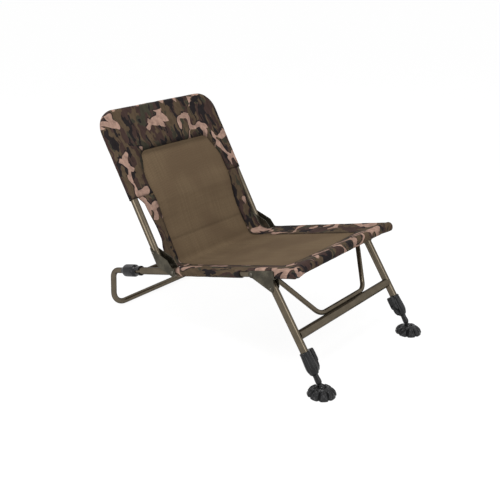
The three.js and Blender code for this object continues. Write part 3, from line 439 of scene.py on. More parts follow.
def knit_group():
    """Spacer mesh: rows of open cells between upright ribs of uneven strength."""
    outputs = ("Height", "Hole", "Rib", "Streak", "Drift")
    nodes, source, target = new_group(
        "Knitted mesh", {"Vector": "Vector", "Pitch": "Float"}, dict.fromkeys(outputs, "Float"))
    vector = source["Vector"]
    across = nodes.math("DIVIDE", 1.0, source["Pitch"])
    parts = nodes.add("SeparateXYZ", {0: vector})
    cell_x, cell_y = (
        nodes.minus(nodes.math("FRACT", nodes.times(*pair)), 0.5)
        for pair in ((parts["X"], across), (parts["Y"], nodes.times(across, 0.6))))
    squares = nodes.math(
        "ADD", nodes.math("POWER", cell_x, 2.0), nodes.times(nodes.math("POWER", cell_y, 2.0), 0.55))
    hole = nodes.step(nodes.math("SQRT", squares), 0.36, 0.18)
    rib = nodes.step(nodes.math("ABSOLUTE", cell_x), 0.2, 0.5)
    nodes.fill(target, {
        "Height": nodes.minus(rib, nodes.times(hole, 0.3)), "Hole": hole, "Rib": rib,
        "Streak": nodes.noise(nodes.moved(vector, (0, 0, 0), 0, (1, 0.03, 1)), 130, 3, 0.6),
        "Drift": nodes.noise(vector, 7, 1)})
    return nodes.tree


def wear_group():
    """Handling marks for metal and plastic: fine scratches, soft smudges and grain."""
    nodes, source, target = new_group(
        "Handling marks", {"Vector": "Vector", "Grain": "Float"},
        dict.fromkeys(("Scratch", "Smudge", "Grain"), "Float"))
    vector = source["Vector"]
    long = nodes.moved(vector, (0, 0, 0), 0.4, (1, 14, 14))
    nodes.fill(target, {
        "Scratch": nodes.step(nodes.noise(long, 45, 4, 0.7), 0.66, 0.74),
        "Smudge": nodes.noise(vector, 38, 4, 0.6), "Grain": nodes.noise(vector, source["Grain"], 2)})
    return nodes.tree


def new_material(name):
    material = bpy.data.materials.new(name)
    material.use_nodes = True
    tree = material.node_tree
    return material, Nodes(tree), tree.nodes["Principled BSDF"]


def scaled(tone, *factors, lift=0.0):
    """A colour multiplied by one factor, or by one for each part."""
    factors = factors if len(factors) == 3 else factors * 3
    return [min(part * factor + lift, 1.0) for part, factor in zip(tone, factors)] + [1.0]


def bumped(nodes, strength, distance, height):
    return nodes.add("Bump", {"Strength": strength, "Distance": distance, "Height": height})[0]


def cloth_surface(nodes, shader, tone, shade_depth, roughness, bump):
    """Matt cloth, with painted shade darkening it where a hem or seam is marked."""
    shade_mark = nodes.add("Attribute", {}, attribute_name="Hem")["Fac"]
    hem_shaded = nodes.shade(tone, nodes.minus(1.0, nodes.times(shade_mark, shade_depth)))
    nodes.fill(shader, {
        "Base Color": hem_shaded, "Roughness": roughness, "Specular IOR Level": 0.08, "Normal": bump})


def camouflage_material():
    material, nodes, shader = new_material("Camouflage cloth")
    vector = nodes.add("UVMap", {}, uv_map="Cloth")[0]
    tones = colours()
    printed = nodes.effects(camouflage_group, {
        "Vector": vector, "Olive": tones.olive, "Purple": tones.purple, "Green": tones.green,
        "Black": tones.black, "Tan": tones.tan})["Color"]
    weave = nodes.effects(weave_group, {"Vector": vector, "Threads": 950.0})
    toned = nodes.shade(printed, nodes.step(weave["Shade"], 0.3, 0.7, 0.9, 1.08))
    cloth_surface(nodes, shader, toned, 0.5, 0.85, bumped(nodes, 0.35, 0.0003, weave["Height"]))
    return material


def mesh_material():
    material, nodes, shader = new_material("Knitted mesh")
    vector = nodes.add("UVMap", {}, uv_map="Cloth")[0]
    knit = nodes.effects(knit_group, {"Vector": vector, "Pitch": 0.0048})
    tone = colours().mesh
    # Painted shade: the mesh darkens in the hollows between its ribs and in its open cells.
    hollow_shade = scaled(tone, 0.45)
    streaked = nodes.mix(nodes.step(knit["Streak"], 0.36, 0.64), scaled(tone, 0.94), scaled(tone, 1.1))
    drift = nodes.mix(nodes.step(knit["Drift"], 0.38, 0.62), streaked, scaled(tone, 0.82, 0.79, 0.8))
    groove_shaded = nodes.mix(nodes.step(knit["Rib"], 0.1, 0.9, 0.62, 0.0), drift, hollow_shade)
    cell_shaded = nodes.mix(nodes.times(knit["Hole"], 0.08), groove_shaded, hollow_shade)
    cloth_surface(nodes, shader, cell_shaded, 0.45, 0.9, bumped(nodes, 0.6, 0.0006, knit["Height"]))
    return material


def worn_material(name, tone, smudged, smudge, scratched, scratch, rough, grain, bump, surface):
    """A surface with soft smudges, few scratches and a fine grain."""
    material, nodes, shader = new_material(name)
    vector = nodes.add("TexCoord", {})["Object"]
    wear = nodes.effects(wear_group, {"Vector": vector, "Grain": grain})
    shade = nodes.mix(nodes.step(wear["Smudge"], *smudge), tone, smudged)
    nodes.fill(shader, {
        "Base Color": nodes.mix(nodes.times(wear["Scratch"], scratch), shade, scratched),
        "Roughness": nodes.step(wear["Smudge"], 0.3, 0.7, *rough),
        "Normal": bumped(nodes, *bump, wear["Grain"]), **surface})
    return material


def metal_material(name, tone, roughness, edge=0.5, metallic=1.0, grain=900.0, depth=0.00004, mottle=0.82):
    """Metallic paint or bare metal."""
    return worn_material(
        name, tone, scaled(tone, mottle), (0.35, 0.65), scaled(tone, 1.7), 0.35,
        (roughness - 0.03, roughness + 0.05), grain, (0.15, depth),
        {"Metallic": metallic, "Specular Tint": (edge, edge, edge, 1.0)})


def plastic_material(name, tone, roughness, grain, depth):
    """Moulded black nylon or rubber."""
    pale = scaled(tone, 1.9, lift=0.004)
    return worn_material(
        name, tone, pale, (0.4, 0.75, 0.0, 0.45), pale, 0.3, (roughness - 0.08, roughness + 0.1), grain,
        (0.4, depth), {"Specular IOR Level": 0.28})


# Each kind of surface: its slot and what builds its material
FINISHES = {
    "camo": ("camo_cloth", camouflage_material),
    "mesh": ("mesh_cloth", mesh_material),
    "frame": ("frame_paint", lambda: metal_material("Bronze paint", colours().frame, 0.14, 0.2, 0.7)),
    "bracket": ("bracket_paint", lambda: metal_material(
        "Pressed bracket paint", colours().bracket, 0.26, 0.5, 0.6, 420.0, 0.0006, 0.5)),
    "steel": ("rivet_steel", lambda: metal_material("Rivet steel", colours().steel, 0.36)),
    "plastic": ("black_plastic", lambda: plastic_material(
        "Black nylon", colours().plastic, 0.26, 1400.0, 0.00012)),
    "rubber": ("foot_rubber", lambda: plastic_material("Black rubber", colours().rubber, 0.3, 1000.0, 0.0003)),
    "thread": ("camo_cloth", lambda: plastic_material("Sewing thread", colours().black, 0.8, 2500.0, 0.0001)),
}

# Cloth
FOLD_ROWS = 30
FOLD_TOP = 0.11          # height above the back pivot where the fold starts
FOLD_END = 0.263         # distance behind the leg pivot where it ends
CLOTH_STEP = 0.007
EDGE_POWER = 6
MESH_UNDER = 0.009       # how far the mesh runs under the camouflage
MESH_SINK = 0.0012       # how far it lies behind the camouflage's plane, with its unevenness
MESH_RIPPLE = 0.0007
MESH_BELLY = 0.003       # how far its middle hangs back
SEAM_DIP = 0.007         # depth of the quilted seam across it, and how fast that fades
SEAM_FADE = 0.03
CLOTH_RIPPLE = 0.0011
TUCK = 0.0022            # how far one cloth lies behind another that it meets
MESH_COLUMNS = 56
TRIM_COLUMNS = 10
FLAT_COLUMNS = 9
WRAP_COLUMNS = 22
FLANGE_COLUMNS = 3
FLANGE = 0.012
WRAP_FROM = radians(-4)
WRAP_TO = radians(262)
# What eased takes, as size, start and span: where the mesh narrows, where the seat rises to its front edge,
# and where the trims widen and tuck in
SHOULDER_SPAN = 0.083
WAIST = ((0.008, 0.27, -0.12), (-0.002, 0.13, -0.05))
SEAT_FRONT = (1, -0.041, -0.091)
TRIM_BACK, TRIM_POCKET, POCKET_REACH = (0.008, 0.13, 0.085), (1, 0.213, 0.026), 0.2225
TRIM_FOLD, TRIM_SLEEVE = (0.0085, 0, 0.45), (0.0085, 0.86, 0.14)
TUCK_START, TUCK_SPAN = 0.228, 0.01
SEAT_HALF, SEAT_LEVEL, SEAT_SAG = 0.2162, 0.004, 0.007
# Painted shade along the hems and along the mesh's quilted seam, and how far the seam's shade reaches along the
# cloth
HEM_SHADE, SEAM_SHADE, SEAM_MARK = 0.8, 0.55, 0.0028
# Stations along a cover's side, corner and end, and the corner's size in the seam
BACK_STEPS, BACK_CORNER = (30, 18, 26), (0.026, 0.022)
SEAT_STEPS, SEAT_CORNER = (52, 14, 30), (0.026, 0.004)
FRONT_LINE, CORNER_LINE, CORNER_SLANT = -0.132, -0.1405, (0.185, 0.045)
SEAM_RISE = 0.001        # of the back's upper seam over the mesh's top
WRAP_RIPPLE = 0.05       # unevenness of a sleeve's radius
FLANGE_RETURN = 0.6      # how far behind a panel its sleeve's edge comes back
# Where the seat's sleeve is cut away for the leg's elbow
NOTCH_START, NOTCH_END, NOTCH_ANGLE = -0.08, 0.042, radians(52)
BACK_FLAT, SEAT_FLAT, TRIM_WIDTH = (0.62, 0.42), (0.6, 0.52), 0.05
# The fold's line in the middle and at its taut edge: the height where it leaves the back, its corners as
# distance behind the leg pivot and height, and how long before each corner the curve starts
FOLD_LINES = (
    (0.089, mm((352, 1), (320, -0.5), (263, -1)), (0.015, 0.016, 0.01)),
    (0.072, mm((345, 36), (331, 16), (308, 10.5), (263, 12.5)), (0.012, 0.01, 0.008, 0.01)))
# How far the slack cloth stands before its plane, by height above the pivot
SLACK = mm(
    (30, 0), (85, -5.5), (125, -6.5), (150, -4.5), (170, -0.5), (190, 3.5), (212, 8.2), (235, 8.8), (262, 6),
    (290, 5), (330, 3), (371, 0))
EDGE_SLACK = mm((75, 0), (105, 5.5), (215, 6), (240, 3))

# A row across the mesh: its zone and place in it, its line in the middle and at the taut edge, the mesh's
# half width and how far it is along the cloth
Row = namedtuple("Row", "zone place middle taut half run")
# A station along a cover: the seam's point, the tube's centre, the directions outward and towards the
# sitter, the sleeve's radius, and the seam, the tube and the outward direction in the flat cloth
Station = namedtuple("Station", "seam centre outward face radius flat_seam flat_touch flat_outward")


def smooth(value):
    value = min(max(value, 0.0), 1.0)
    return value * value * (3 - 2 * value)


def eased(value, size, start, span):
    """A size that comes in softly where a value passes start; a span below 0 lets it come in downwards."""
    return size * smooth((value - start) / span)


def lerp(first, second, share):
    return first + (second - first) * share


def shares(steps, last=0):
    """Even shares from 0 up, with 1 itself where last is 1."""
    return [i / steps for i in range(steps + last)]


def back_point(x, height, depth):
    """A point of the back, from its height above the pivot and depth behind it, in rail coordinates."""
    up, behind = cos(BACK_LEAN), sin(BACK_LEAN)
    return vec(x, sizes().back_place + depth * up + height * behind, height * up - depth * behind)


def cloth_depth():
    """Depth of the back's cloth behind the pivot."""
    return sizes().back_offset - cloth().forward


def mesh_half(height):
    """Half width of the back mesh at a height above the pivot."""
    size = cloth()
    shoulder = smooth((size.mesh_top - height) / SHOULDER_SPAN)
    return lerp(size.mesh_top_half, size.mesh_half, shoulder) - sum(eased(height, *step) for step in WAIST)


def looked_up(table, value):
    """A table's value, eased between its rows."""
    for (low, first), (high, second) in zip(table, table[1:]):
        if value < high:
            return lerp(first, second, smooth((value - low) / (high - low)))
    return table[-1][1]


def seat_rise(x, along):
    """Height of the seat cloth above the rails' centre plane."""
    across = 1 - min(abs(x) / SEAT_HALF, 1.0) ** 2
    front = eased(along, *SEAT_FRONT)
    return SEAT_LEVEL - SEAT_SAG * across * (1 - front) + SEAT_SAG * front


def resampled(points, count):
    """Points evenly spaced along a polyline."""
    lengths = [0.0]
    for a, b in zip(points, points[1:]):
        lengths.append(lengths[-1] + (b - a).length)
    result, k = [], 0
    for share in shares(count, 1):
        wanted = lengths[-1] * share
        while k < len(points) - 2 and lengths[k + 1] < wanted:
            k += 1
        span = lengths[k + 1] - lengths[k]
        result.append(points[k].lerp(points[k + 1], min(max((wanted - lengths[k]) / span, 0), 1)))
    return result


def bezier(a, b, c, t):
    return a * (1 - t) ** 2 + b * (2 * t * (1 - t)) + c * t ** 2


def filleted(points, reaches):
    """A polyline with each inner corner drawn as a curve that starts its reach before the corner."""
    result = [points[0]]
    for before, corner, after, reach in zip(points, points[1:], points[2:], reaches):
        start = corner + (before - corner).normalized() * reach
        end = corner + (after - corner).normalized() * reach
        result += [bezier(start, corner, end, share) for share in shares(8, 1)]
    return result + [points[-1]]


def fold_lines():
    """The cloth's line through the fold, in the middle of the chair and at its taut edge."""
    for low, corners, reaches in FOLD_LINES:
        points = [back_point(0, height, cloth_depth()) for height in (FOLD_TOP, low)]
        yield resampled(filleted(points + [vec(0, *corner) for corner in corners], reaches), FOLD_ROWS)


def cloth_rows():
    """Rows of the cloth from the top of the back's mesh to the front of the seat's."""
    size, lines = cloth(), []
    for share in shares(round((size.mesh_top - FOLD_TOP) / CLOTH_STEP)):
        height = lerp(size.mesh_top, FOLD_TOP, share)
        point = back_point(0, height, cloth_depth())
        lines.append(("back", height, point, point, mesh_half(height)))
    for i, (middle, taut) in enumerate(zip(*fold_lines())):
        half = lerp(mesh_half(FOLD_TOP), size.seat_mesh_half, smooth(i / FOLD_ROWS))
        lines.append(("fold", 0, middle, taut, half))
    for share in shares(round((FOLD_END + size.seat_mesh_front) / CLOTH_STEP), 1)[1:]:
        point = vec(0, lerp(FOLD_END, -size.seat_mesh_front, share), 0)
        lines.append(("seat", point.y, point, point, size.seat_mesh_half))
    rows, run = [], 0.0
    for before, line in zip(lines[:1] + lines, lines):
        run += (line[2] - before[2]).length
        rows.append(Row(*line, run))
    return rows


def cloth_point(row, x):
    """The cloth's middle surface on a row, in rail coordinates."""
    if row.zone == "seat":
        return vec(x, row.place, seat_rise(x, row.place))
    waist = cloth().waist
    point = row.middle.lerp(row.taut, min(abs(x) / waist, 1.0) ** EDGE_POWER)
    base = back_point(0, 0, 0)
    height = (point - base).dot(back_point(0, 1, 0) - base)
    edge = smooth((abs(x) - row.half) / (waist - row.half))
    slack = lerp(looked_up(SLACK, height), looked_up(EDGE_SLACK, height), edge)
    point += (back_point(0, 0, -1) - base) * slack
    return vec(x, point.y, point.z)


def cloth_normal(rows, i, x):
    """Unit normal towards the sitter."""
    before, after = rows[max(i - 1, 0)], rows[min(i + 1, len(rows) - 1)]
    along = cloth_point(after, x) - cloth_point(before, x)
    return vec(0, along.z, -along.y).normalized()


def grid_mesh(rows, columns, point, uv, hems, skip=None):
    """A grid whose corners go to point(i, j), with a UV map in metres and the painted shade along its hems and
    seams marked.
    """
    bm = bmesh.new()
    bmesh.ops.create_grid(bm, x_segments=columns, y_segments=rows, size=0.5)
    layer = bm.loops.layers.uv.new("Cloth")
    shade_mark = bm.verts.layers.float.new("Hem")
    place = {v: (round((v.co.y + 0.5) * rows), round((v.co.x + 0.5) * columns)) for v in bm.verts}
    doomed = []
    for face in bm.faces:
        for loop in face.loops:
            loop[layer].uv = uv(*place[loop.vert])
        if skip and skip(*map(min, zip(*(place[vert] for vert in face.verts)))):
            doomed.append(face)
    for vert, (i, j) in place.items():
        vert.co = point(i, j)
        vert[shade_mark] = hems(i, j)
    bmesh.ops.delete(bm, geom=doomed, context="FACES")
    bmesh.ops.remove_doubles(bm, verts=bm.verts, dist=WELD)
    return bm


def hem_mark(*steps):
    """Strength of a hem's shadow, from how many grid steps away each hem is."""
    return max(max(0.0, 1 - max(step, 0) / 1.5) for step in steps)


def blend_cloth(piece):
    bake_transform(piece)


def cloth_piece(bm, name, kind, thickness, rests_on, shape, body=None, nodes=()):
    """Finishes a cloth and gives it its thickness. Without a body its transform is baked into its mesh."""
    piece = finish_piece(bm, name, kind, body, nodes, recalc=False)
    solid = piece.modifiers.new("Cloth thickness", "SOLIDIFY")
    solid.thickness = thickness
    solid.offset = 0
    area = sum(polygon.area for polygon in piece.data.polygons)
    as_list(rests_on)
    if not body:
        blend_cloth(piece)


def ripple(x, y, seed, scale=22.0):
    """Soft unevenness of stretched cloth, from -1 to 1."""
    return noise.noise(vec(x * scale, y * scale, seed))


class CHAIR_OT_mesh_cloth(Operator):
    """Brown knitted mesh from the top of the back, through the fold, to the front of the seat"""

    bl_idname = "chair.mesh_cloth"
    bl_label = "Mesh cloth"

    def execute(self, context):
        size = cloth()
        rows = cloth_rows()
        last = len(rows) - 1
        seam = size.mesh_top - size.band_seam

        def spread(i, j):
            return (2 * j / MESH_COLUMNS - 1) * (rows[i].half + MESH_UNDER)

        def point(i, j):
            row, x = rows[i], spread(i, j)
            sink = MESH_SINK + MESH_RIPPLE * ripple(x, row.run, 3.0)
            broad = 1 - (x / size.waist) ** 2
            if row.zone == "back":
                up = (size.mesh_top - row.place) / (size.mesh_top - FOLD_TOP)
                sink += MESH_BELLY * broad * sin(pi * smooth(up)) ** 2
            sink += SEAM_DIP * broad * exp(-abs(row.run - seam) / SEAM_FADE)
            local = cloth_point(row, x) - cloth_normal(rows, i, x) * sink
            if i in (0, last):
                local += (row.middle - rows[abs(i - 1)].middle).normalized() * MESH_UNDER
            return RAIL @ local

        # Painted shade along the mesh's hems and along its quilted seam
        def hems(i, j):
            edge = hem_mark(j - 1, MESH_COLUMNS - 1 - j, i - 1, last - 1 - i)
            return max(HEM_SHADE * edge, SEAM_SHADE * hem_mark(abs(rows[i].run - seam) / SEAM_MARK))

        bm = grid_mesh(last, MESH_COLUMNS, point, lambda i, j: (spread(i, j), -rows[i].run), hems)
        shape = (2 * (size.mesh_half + MESH_UNDER), rows[-1].run + 2 * MESH_UNDER)
        cloth_piece(bm, "mesh_cover", "mesh", size.mesh, ["back_cover", "seat_cover"], shape,
                    nodes=("back_mesh_panel", "lumbar_panel", "seat_mesh_panel"))
        return {"FINISHED"}


def wrapped_cover(stations, skip=None):
    """Cloth that runs flat from a seam to a tube, round the tube and back to itself behind."""
    wrapped = FLAT_COLUMNS + WRAP_COLUMNS

    def around(station, angle, radius):
        return station.centre + (station.outward * sin(angle) + station.face * cos(angle)) * radius

    def angle_at(j):
        return lerp(WRAP_FROM, WRAP_TO, min(max((j - FLAT_COLUMNS) / WRAP_COLUMNS, 0), 1))

    def point(i, j):
        station = stations[i]
        radius = station.radius * (1 + WRAP_RIPPLE * ripple(i * 0.09, j * 0.05, 9.0, 3.0))
        touch = around(station, WRAP_FROM, station.radius)
        if j <= FLAT_COLUMNS:
            share = j / FLAT_COLUMNS
            flat = station.flat_seam.lerp(station.flat_touch, share)
            lift = CLOTH_RIPPLE * ripple(flat.x, flat.y, 5.0, 26.0) * sin(pi * share)
            return RAIL @ (station.seam.lerp(touch, share) + station.face * lift)
        wrap = around(station, angle_at(j), radius)
        if j > wrapped:
            behind = station.seam.lerp(touch, FLANGE_RETURN) - station.face * TUCK
            wrap = wrap.lerp(behind, (j - wrapped) / FLANGE_COLUMNS)
        return RAIL @ wrap

    def uv(i, j):
        station = stations[i]
        if j <= FLAT_COLUMNS:
            return station.flat_seam.lerp(station.flat_touch, j / FLAT_COLUMNS)
        arc = station.radius * (angle_at(j) - WRAP_FROM) + max(j - wrapped, 0) / FLANGE_COLUMNS * FLANGE
        return station.flat_touch + station.flat_outward * arc

    last = len(stations) - 1
    return grid_mesh(last, wrapped + FLANGE_COLUMNS, point, uv, lambda i, j: hem_mark(j, i, last - i),
                     skip and (lambda i, j: skip(stations[i], angle_at(j))))


def whole_path(half):
    """The seams, tube centres and outward directions of one side, followed by the other's."""
    return half + [tuple(vec(-v.x, v.y) for v in place) for place in reversed(half[:-1])]


def back_path():
    """Half of the back cover's run, from a pocket's end to the middle of the top bar, in the back's plane."""
    size, tube = cloth(), sizes()
    side, bend, top = tube.rail_spacing / 2, tube.back_bend, tube.back_height
    rise, across = BACK_CORNER
    end, bend_start, shoulder = size.pocket_end, top - bend, size.mesh_top - rise
    side_steps, corner_steps, end_steps = BACK_STEPS
    half = []
    for share in shares(side_steps):
        height = lerp(end, shoulder, share)
        half.append((vec(mesh_half(height), height), vec(side, lerp(end, bend_start, share)), vec(1, 0)))
    corner = [vec(mesh_half(shoulder), shoulder), vec(size.mesh_top_half + SEAM_RISE, size.mesh_top),
              vec(size.mesh_top_half - across, size.mesh_top + SEAM_RISE)]
    for share in shares(corner_steps):
        angle = pi / 2 * share
        outward = vec(cos(angle), sin(angle))
        half.append((bezier(*corner, share), vec(side - bend, bend_start) + outward * bend, outward))
    for share in shares(end_steps, 1):
        seam = vec(lerp(corner[2].x, 0, share), size.mesh_top + SEAM_RISE + SEAM_RISE * share)
        half.append((seam, vec(lerp(side - bend, 0, share), top), vec(0, 1)))
    return half


def back_stations():
    base, depth, offset = back_point(0, 0, 0), cloth_depth(), sizes().back_offset
    face = back_point(0, 0, -1) - base
    return [Station(
        back_point(seam.x, seam.y, depth - looked_up(SLACK, seam.y)), back_point(centre.x, centre.y, offset),
        back_point(outward.x, outward.y, 0) - base, face, cloth().sleeve, seam, centre, outward)
        for seam, centre, outward in whole_path(back_path())]


def seat_path():
    """Half of the seat cover's run, from a sleeve's rear end to the middle of the front tube."""
    size = cloth()
    side, rear = sizes().rail_spacing / 2, size.sleeve_end
    inner, mesh_front = size.seat_mesh_half, -size.seat_mesh_front
    rounding, tube_rounding = SEAT_CORNER
    side_steps, corner_steps, end_steps = SEAT_STEPS
    half = []
    for share in shares(side_steps):
        half.append((vec(inner, lerp(rear, mesh_front + rounding, share)),
                     vec(side, lerp(rear, CORNER_LINE + tube_rounding, share)), vec(1, 0)))
    for share in shares(corner_steps):
        angle = pi / 2 * share
        outward = vec(cos(angle), -sin(angle))
        half.append((vec(inner - rounding, mesh_front + rounding) + outward * rounding,
                     vec(side - tube_rounding, CORNER_LINE + tube_rounding) + outward * tube_rounding, outward))
    for share in shares(end_steps, 1):
        x = lerp(side - tube_rounding, 0, share)
        place = FRONT_LINE + eased(x, CORNER_LINE - FRONT_LINE, *CORNER_SLANT)
        half.append((vec(lerp(inner - rounding, 0, share), mesh_front), vec(x, place), vec(0, -1)))
    return half


def seat_stations():
    """The flat cloth lies 1 m before the back's, so that its print differs."""
    apart = vec(0, -1)
    return [Station(
        vec(*seam, seat_rise(*seam)), vec(*centre, 0.002 * abs(outward.y)), vec(*outward, 0), vec(0, 0, 1),
        cloth().sleeve, seam + apart, centre + apart, outward)
        for seam, centre, outward in whole_path(seat_path())]


def notched(station, angle):
    """True where the sleeve is cut away for the leg's elbow."""
    beside = abs(station.outward.x) > 0.99
    return beside and NOTCH_START < station.centre.y < NOTCH_END and angle > NOTCH_ANGLE


def fold_trim(name, sign):
    """Strip beside the mesh from a back pocket's end, through the fold, to the rail's sleeve."""
    size = cloth()
    rows = [row for row in cloth_rows() if row.zone == "fold" and row.middle.y > size.sleeve_end - 0.008
            or row.zone == "back" and row.place < size.pocket_end + 0.02]
    start = next(row.run for row in rows if row.zone == "fold")
    reach = rows[-1].run - start

    def edge(row):
        """Outer edge of the strip."""
        if row.zone == "back":
            x = lerp(size.waist + eased(row.place, *TRIM_BACK), POCKET_REACH, eased(row.place, *TRIM_POCKET))
        else:
            share = (row.run - start) / reach
            x = size.waist + eased(share, *TRIM_FOLD) + eased(share, *TRIM_SLEEVE)
        return vec(x, *cloth_point(row, size.waist).yz)

    def tuck(row):
        """How far the strip lies behind the covers that it meets."""
        if row.zone == "back":
            return eased(row.place, TUCK, TUCK_START, TUCK_SPAN)
        return eased(row.middle.y, TUCK, size.sleeve_end + 0.012, -TUCK_SPAN)

    def point(i, j):
        row, share = rows[i], j / TRIM_COLUMNS
        local = cloth_point(row, row.half).lerp(edge(row), share)
        wave = CLOTH_RIPPLE * ripple(local.x, row.run, 7.0, 34.0) * sin(pi * share)
        local += cloth_normal(rows, i, row.half) * (wave - tuck(row))
        return RAIL @ vec(sign * local.x, *local.yz)

    def uv(i, j):
        row = rows[i]
        return (sign * lerp(row.half, edge(row).x, j / TRIM_COLUMNS), size.mesh_top - row.run)

    bm = grid_mesh(len(rows) - 1, TRIM_COLUMNS, point, uv, lambda i, j: hem_mark(j, TRIM_COLUMNS - j))
    if sign < 0:
        bmesh.ops.reverse_faces(bm, faces=bm.faces)
    cloth_piece(bm, f"fold_trim_{name}", "camo", size.cloth, ["back_cover", "seat_cover"],
                (TRIM_WIDTH, rows[-1].run - rows[0].run))


class CHAIR_OT_camouflage_cloth(Operator):
    """Camouflage cloth: the back's cover and pockets, the trims at the fold and the seat's cover"""

    bl_idname = "chair.camouflage_cloth"
    bl_label = "Camouflage cloth"

    def execute(self, context):
        for stations, skip, name, rests_on, shape, body, nodes in (
                (back_stations(), None, "back_cover", ["back_tube"], BACK_FLAT, "backrest",
                 ("back_sleeve", "back_top_panel", "back_side_panel_left", "back_side_panel_right")),
                (seat_stations(), notched, "seat_cover", ["rail_left", "rail_right"], SEAT_FLAT, "seat_frame",
                 ("seat_sleeve_left", "seat_sleeve_right", "seat_side_strip_left", "seat_side_strip_right",
                  "seat_front_band"))):
            cloth_piece(wrapped_cover(stations, skip), name, "camo", cloth().cloth, rests_on, shape, body, nodes)
        for name, sign in SIDES.items():
            fold_trim(name, sign)
        return {"FINISHED"}


# Half width over an elbow's two cheeks, and a fastener's shank radius, head radius and dome
ELBOW_HALF = 0.0136
PIN, RIVET = mm((3, 6, 2.4), (2.5, 4.5, 1.8))
# Tubes: the cross tubes' places along the rail and heights over it, and the ends, bends and corners of the rest
CROSS_RADIUS = 0.01
HEM_TUBE, REAR_TUBE = mm((-132, 2), (424, 0))
LEG_ENDS = (-0.262, -0.037)
BACK_END = 0.052
CROSSBAR_EDGE = 0.0003
BRACE_RADIUS = 0.007
BRACE_LOW = -0.1779
BRACE_TOP = (-0.034, -0.04)
BRACE_HALVES = (0.197, 0.109)
BRACE_BENDS = [0.014, 0.04, 0.04, 0.014]
BAR_END = 0.36
BAR_SPLAY = radians(3)
BAR_BENDS = [0.032, 0.046, 0.046, 0.032]


def mirrored(half):
    """A bent line's corners on the right, followed by those on the left."""
    return [(-x, y, z) for x, y, z in half] + half[::-1]


def rear_bar(side):
    """Bar that telescopes in the rails and lies on the ground behind."""
    size = sizes()
    radius = size.bar / 2
    inner, bend = RAIL @ vec(side, BAR_END, 0), RAIL @ vec(side, size.bar_reach, 0)
    ground = vec(side, bend.y + (bend.z - radius) * tan(BAR_SPLAY), radius)
    tube_piece("rear_support_bar", mirrored([inner, bend, ground]), BAR_BENDS, radius,
               "rear_bar", "rear_bar", Matrix.Identity(4))


class CHAIR_OT_frame_tubes(Operator):
    """Rails, back tube, legs, cross tubes, brace and rear bar as round bent tubes"""

    bl_idname = "chair.frame_tubes"
    bl_label = "Frame tubes"

    def execute(self, context):
        size = sizes()
        side, radius, leg = size.rail_spacing / 2, size.tube / 2, -size.leg_offset
        for name, sign in SIDES.items():
            x = sign * side
            tube_piece(f"side_rail_{name}", [(x, -size.rail_front, 0), (x, size.rail_rear, 0)], [], radius,
                       "seat_frame", f"rail_{name}", RAIL)
            tube_piece(f"outer_leg_{name}", [(x, leg, end) for end in LEG_ENDS], [], radius,
                       "leg_frame", f"leg_{name}", LEG)
        inner = side - radius * 0.6
        for name, node, place in (("hem_tube", "front_cross_tube", HEM_TUBE),
                                  ("rear_tube", "rear_cross_tube", REAR_TUBE)):
            tube_piece(name, [(-inner, *place), (inner, *place)], [], CROSS_RADIUS, "seat_frame", node, RAIL)
        bar = finish_piece(copied("crossbar"), "leg_crossbar", "frame", "leg_frame", ("crossbar",), False)
        rounded(bar, CROSSBAR_EDGE)
        half = [(side, size.back_offset, end) for end in (BACK_END, size.back_height)]
        tube_piece("back_hoop", mirrored(half), [size.back_bend] * 2, radius, "backrest", "back_tube", BACK)
        wide, narrow = BRACE_HALVES
        half = [(side - ELBOW_HALF, *BRACE_TOP), (wide, *BRACE_TOP), (narrow, leg, BRACE_LOW)]
        tube_piece("brace_tube", mirrored(half), BRACE_BENDS, BRACE_RADIUS, "leg_frame", "leg_brace", LEG)
        rear_bar(side)
        return {"FINISHED"}


CHEEK_TOP = 0.0105
ELBOW_EDGE = 0.0007
BACK_RIVET_HEIGHT, LEG_RIVET_HEIGHT = 0.074, -0.056


def lower_edge(piece):
    """Keeps the cheeks' upper edges under the seat cover that crosses them."""
    to_rail = RAIL.inverted()
    for vert in piece.data.vertices:
        local = to_rail @ vert.co
        local.z = min(local.z, CHEEK_TOP)
        vert.co = RAIL @ local


def rivet(node, body, matrix, shank, head, dome):
    """Domed rivet through both cheeks of an elbow."""
    profile = [(0, -ELBOW_HALF - dome)]
    for turn in map(radians, (25, 45, 65, 82)):
        profile.append((head * sin(turn), -ELBOW_HALF - dome * cos(turn)))
    profile += [(head, -ELBOW_HALF), (shank, -ELBOW_HALF)]
    profile += [(r, -z) for r, z in reversed(profile)]
    bm = bmesh.new()
    lathe(bm, profile, matrix @ Matrix.Rotation(pi / 2, 4, "Y"), RIVET_SIDES)
    name = node.replace("elbow_rivet", "rivet").replace("hinge_pin", "pivot_pin")
    finish_piece(bm, name, "steel", body, (node,))


class CHAIR_OT_elbows(Operator):
    """Pressed elbows with their hinge pins and rivets"""

    bl_idname = "chair.elbows"
    bl_label = "Elbows and rivets"

    def execute(self, context):
        size = sizes()
        back, leg = (size.back_offset, BACK_RIVET_HEIGHT), (-size.leg_offset, LEG_RIVET_HEIGHT)
        for name, sign in SIDES.items():
            for kind, body in (("back", "backrest"), ("leg", "leg_frame")):
                node = f"{kind}_elbow_{name}"
                piece = finish_piece(copied(node), f"pressed_{node}", "bracket", body, (node,), False)
                rounded(piece, ELBOW_EDGE)
                if kind == "leg":
                    lower_edge(piece)
            x = sign * size.rail_spacing / 2
            for kind, body, matrix, place, form in (
                    ("leg_hinge_pin", "seat_frame", RAIL, (0, 0), PIN),
                    ("back_hinge_pin", "seat_frame", RAIL, (size.back_place, 0), PIN),
                    ("back_elbow_rivet", "backrest", BACK, back, RIVET),
                    ("leg_elbow_rivet", "leg_frame", LEG, leg, RIVET)):
                rivet(f"{kind}_{name}", body, matrix @ Matrix.Translation((x, *place)), *form)
        return {"FINISHED"}


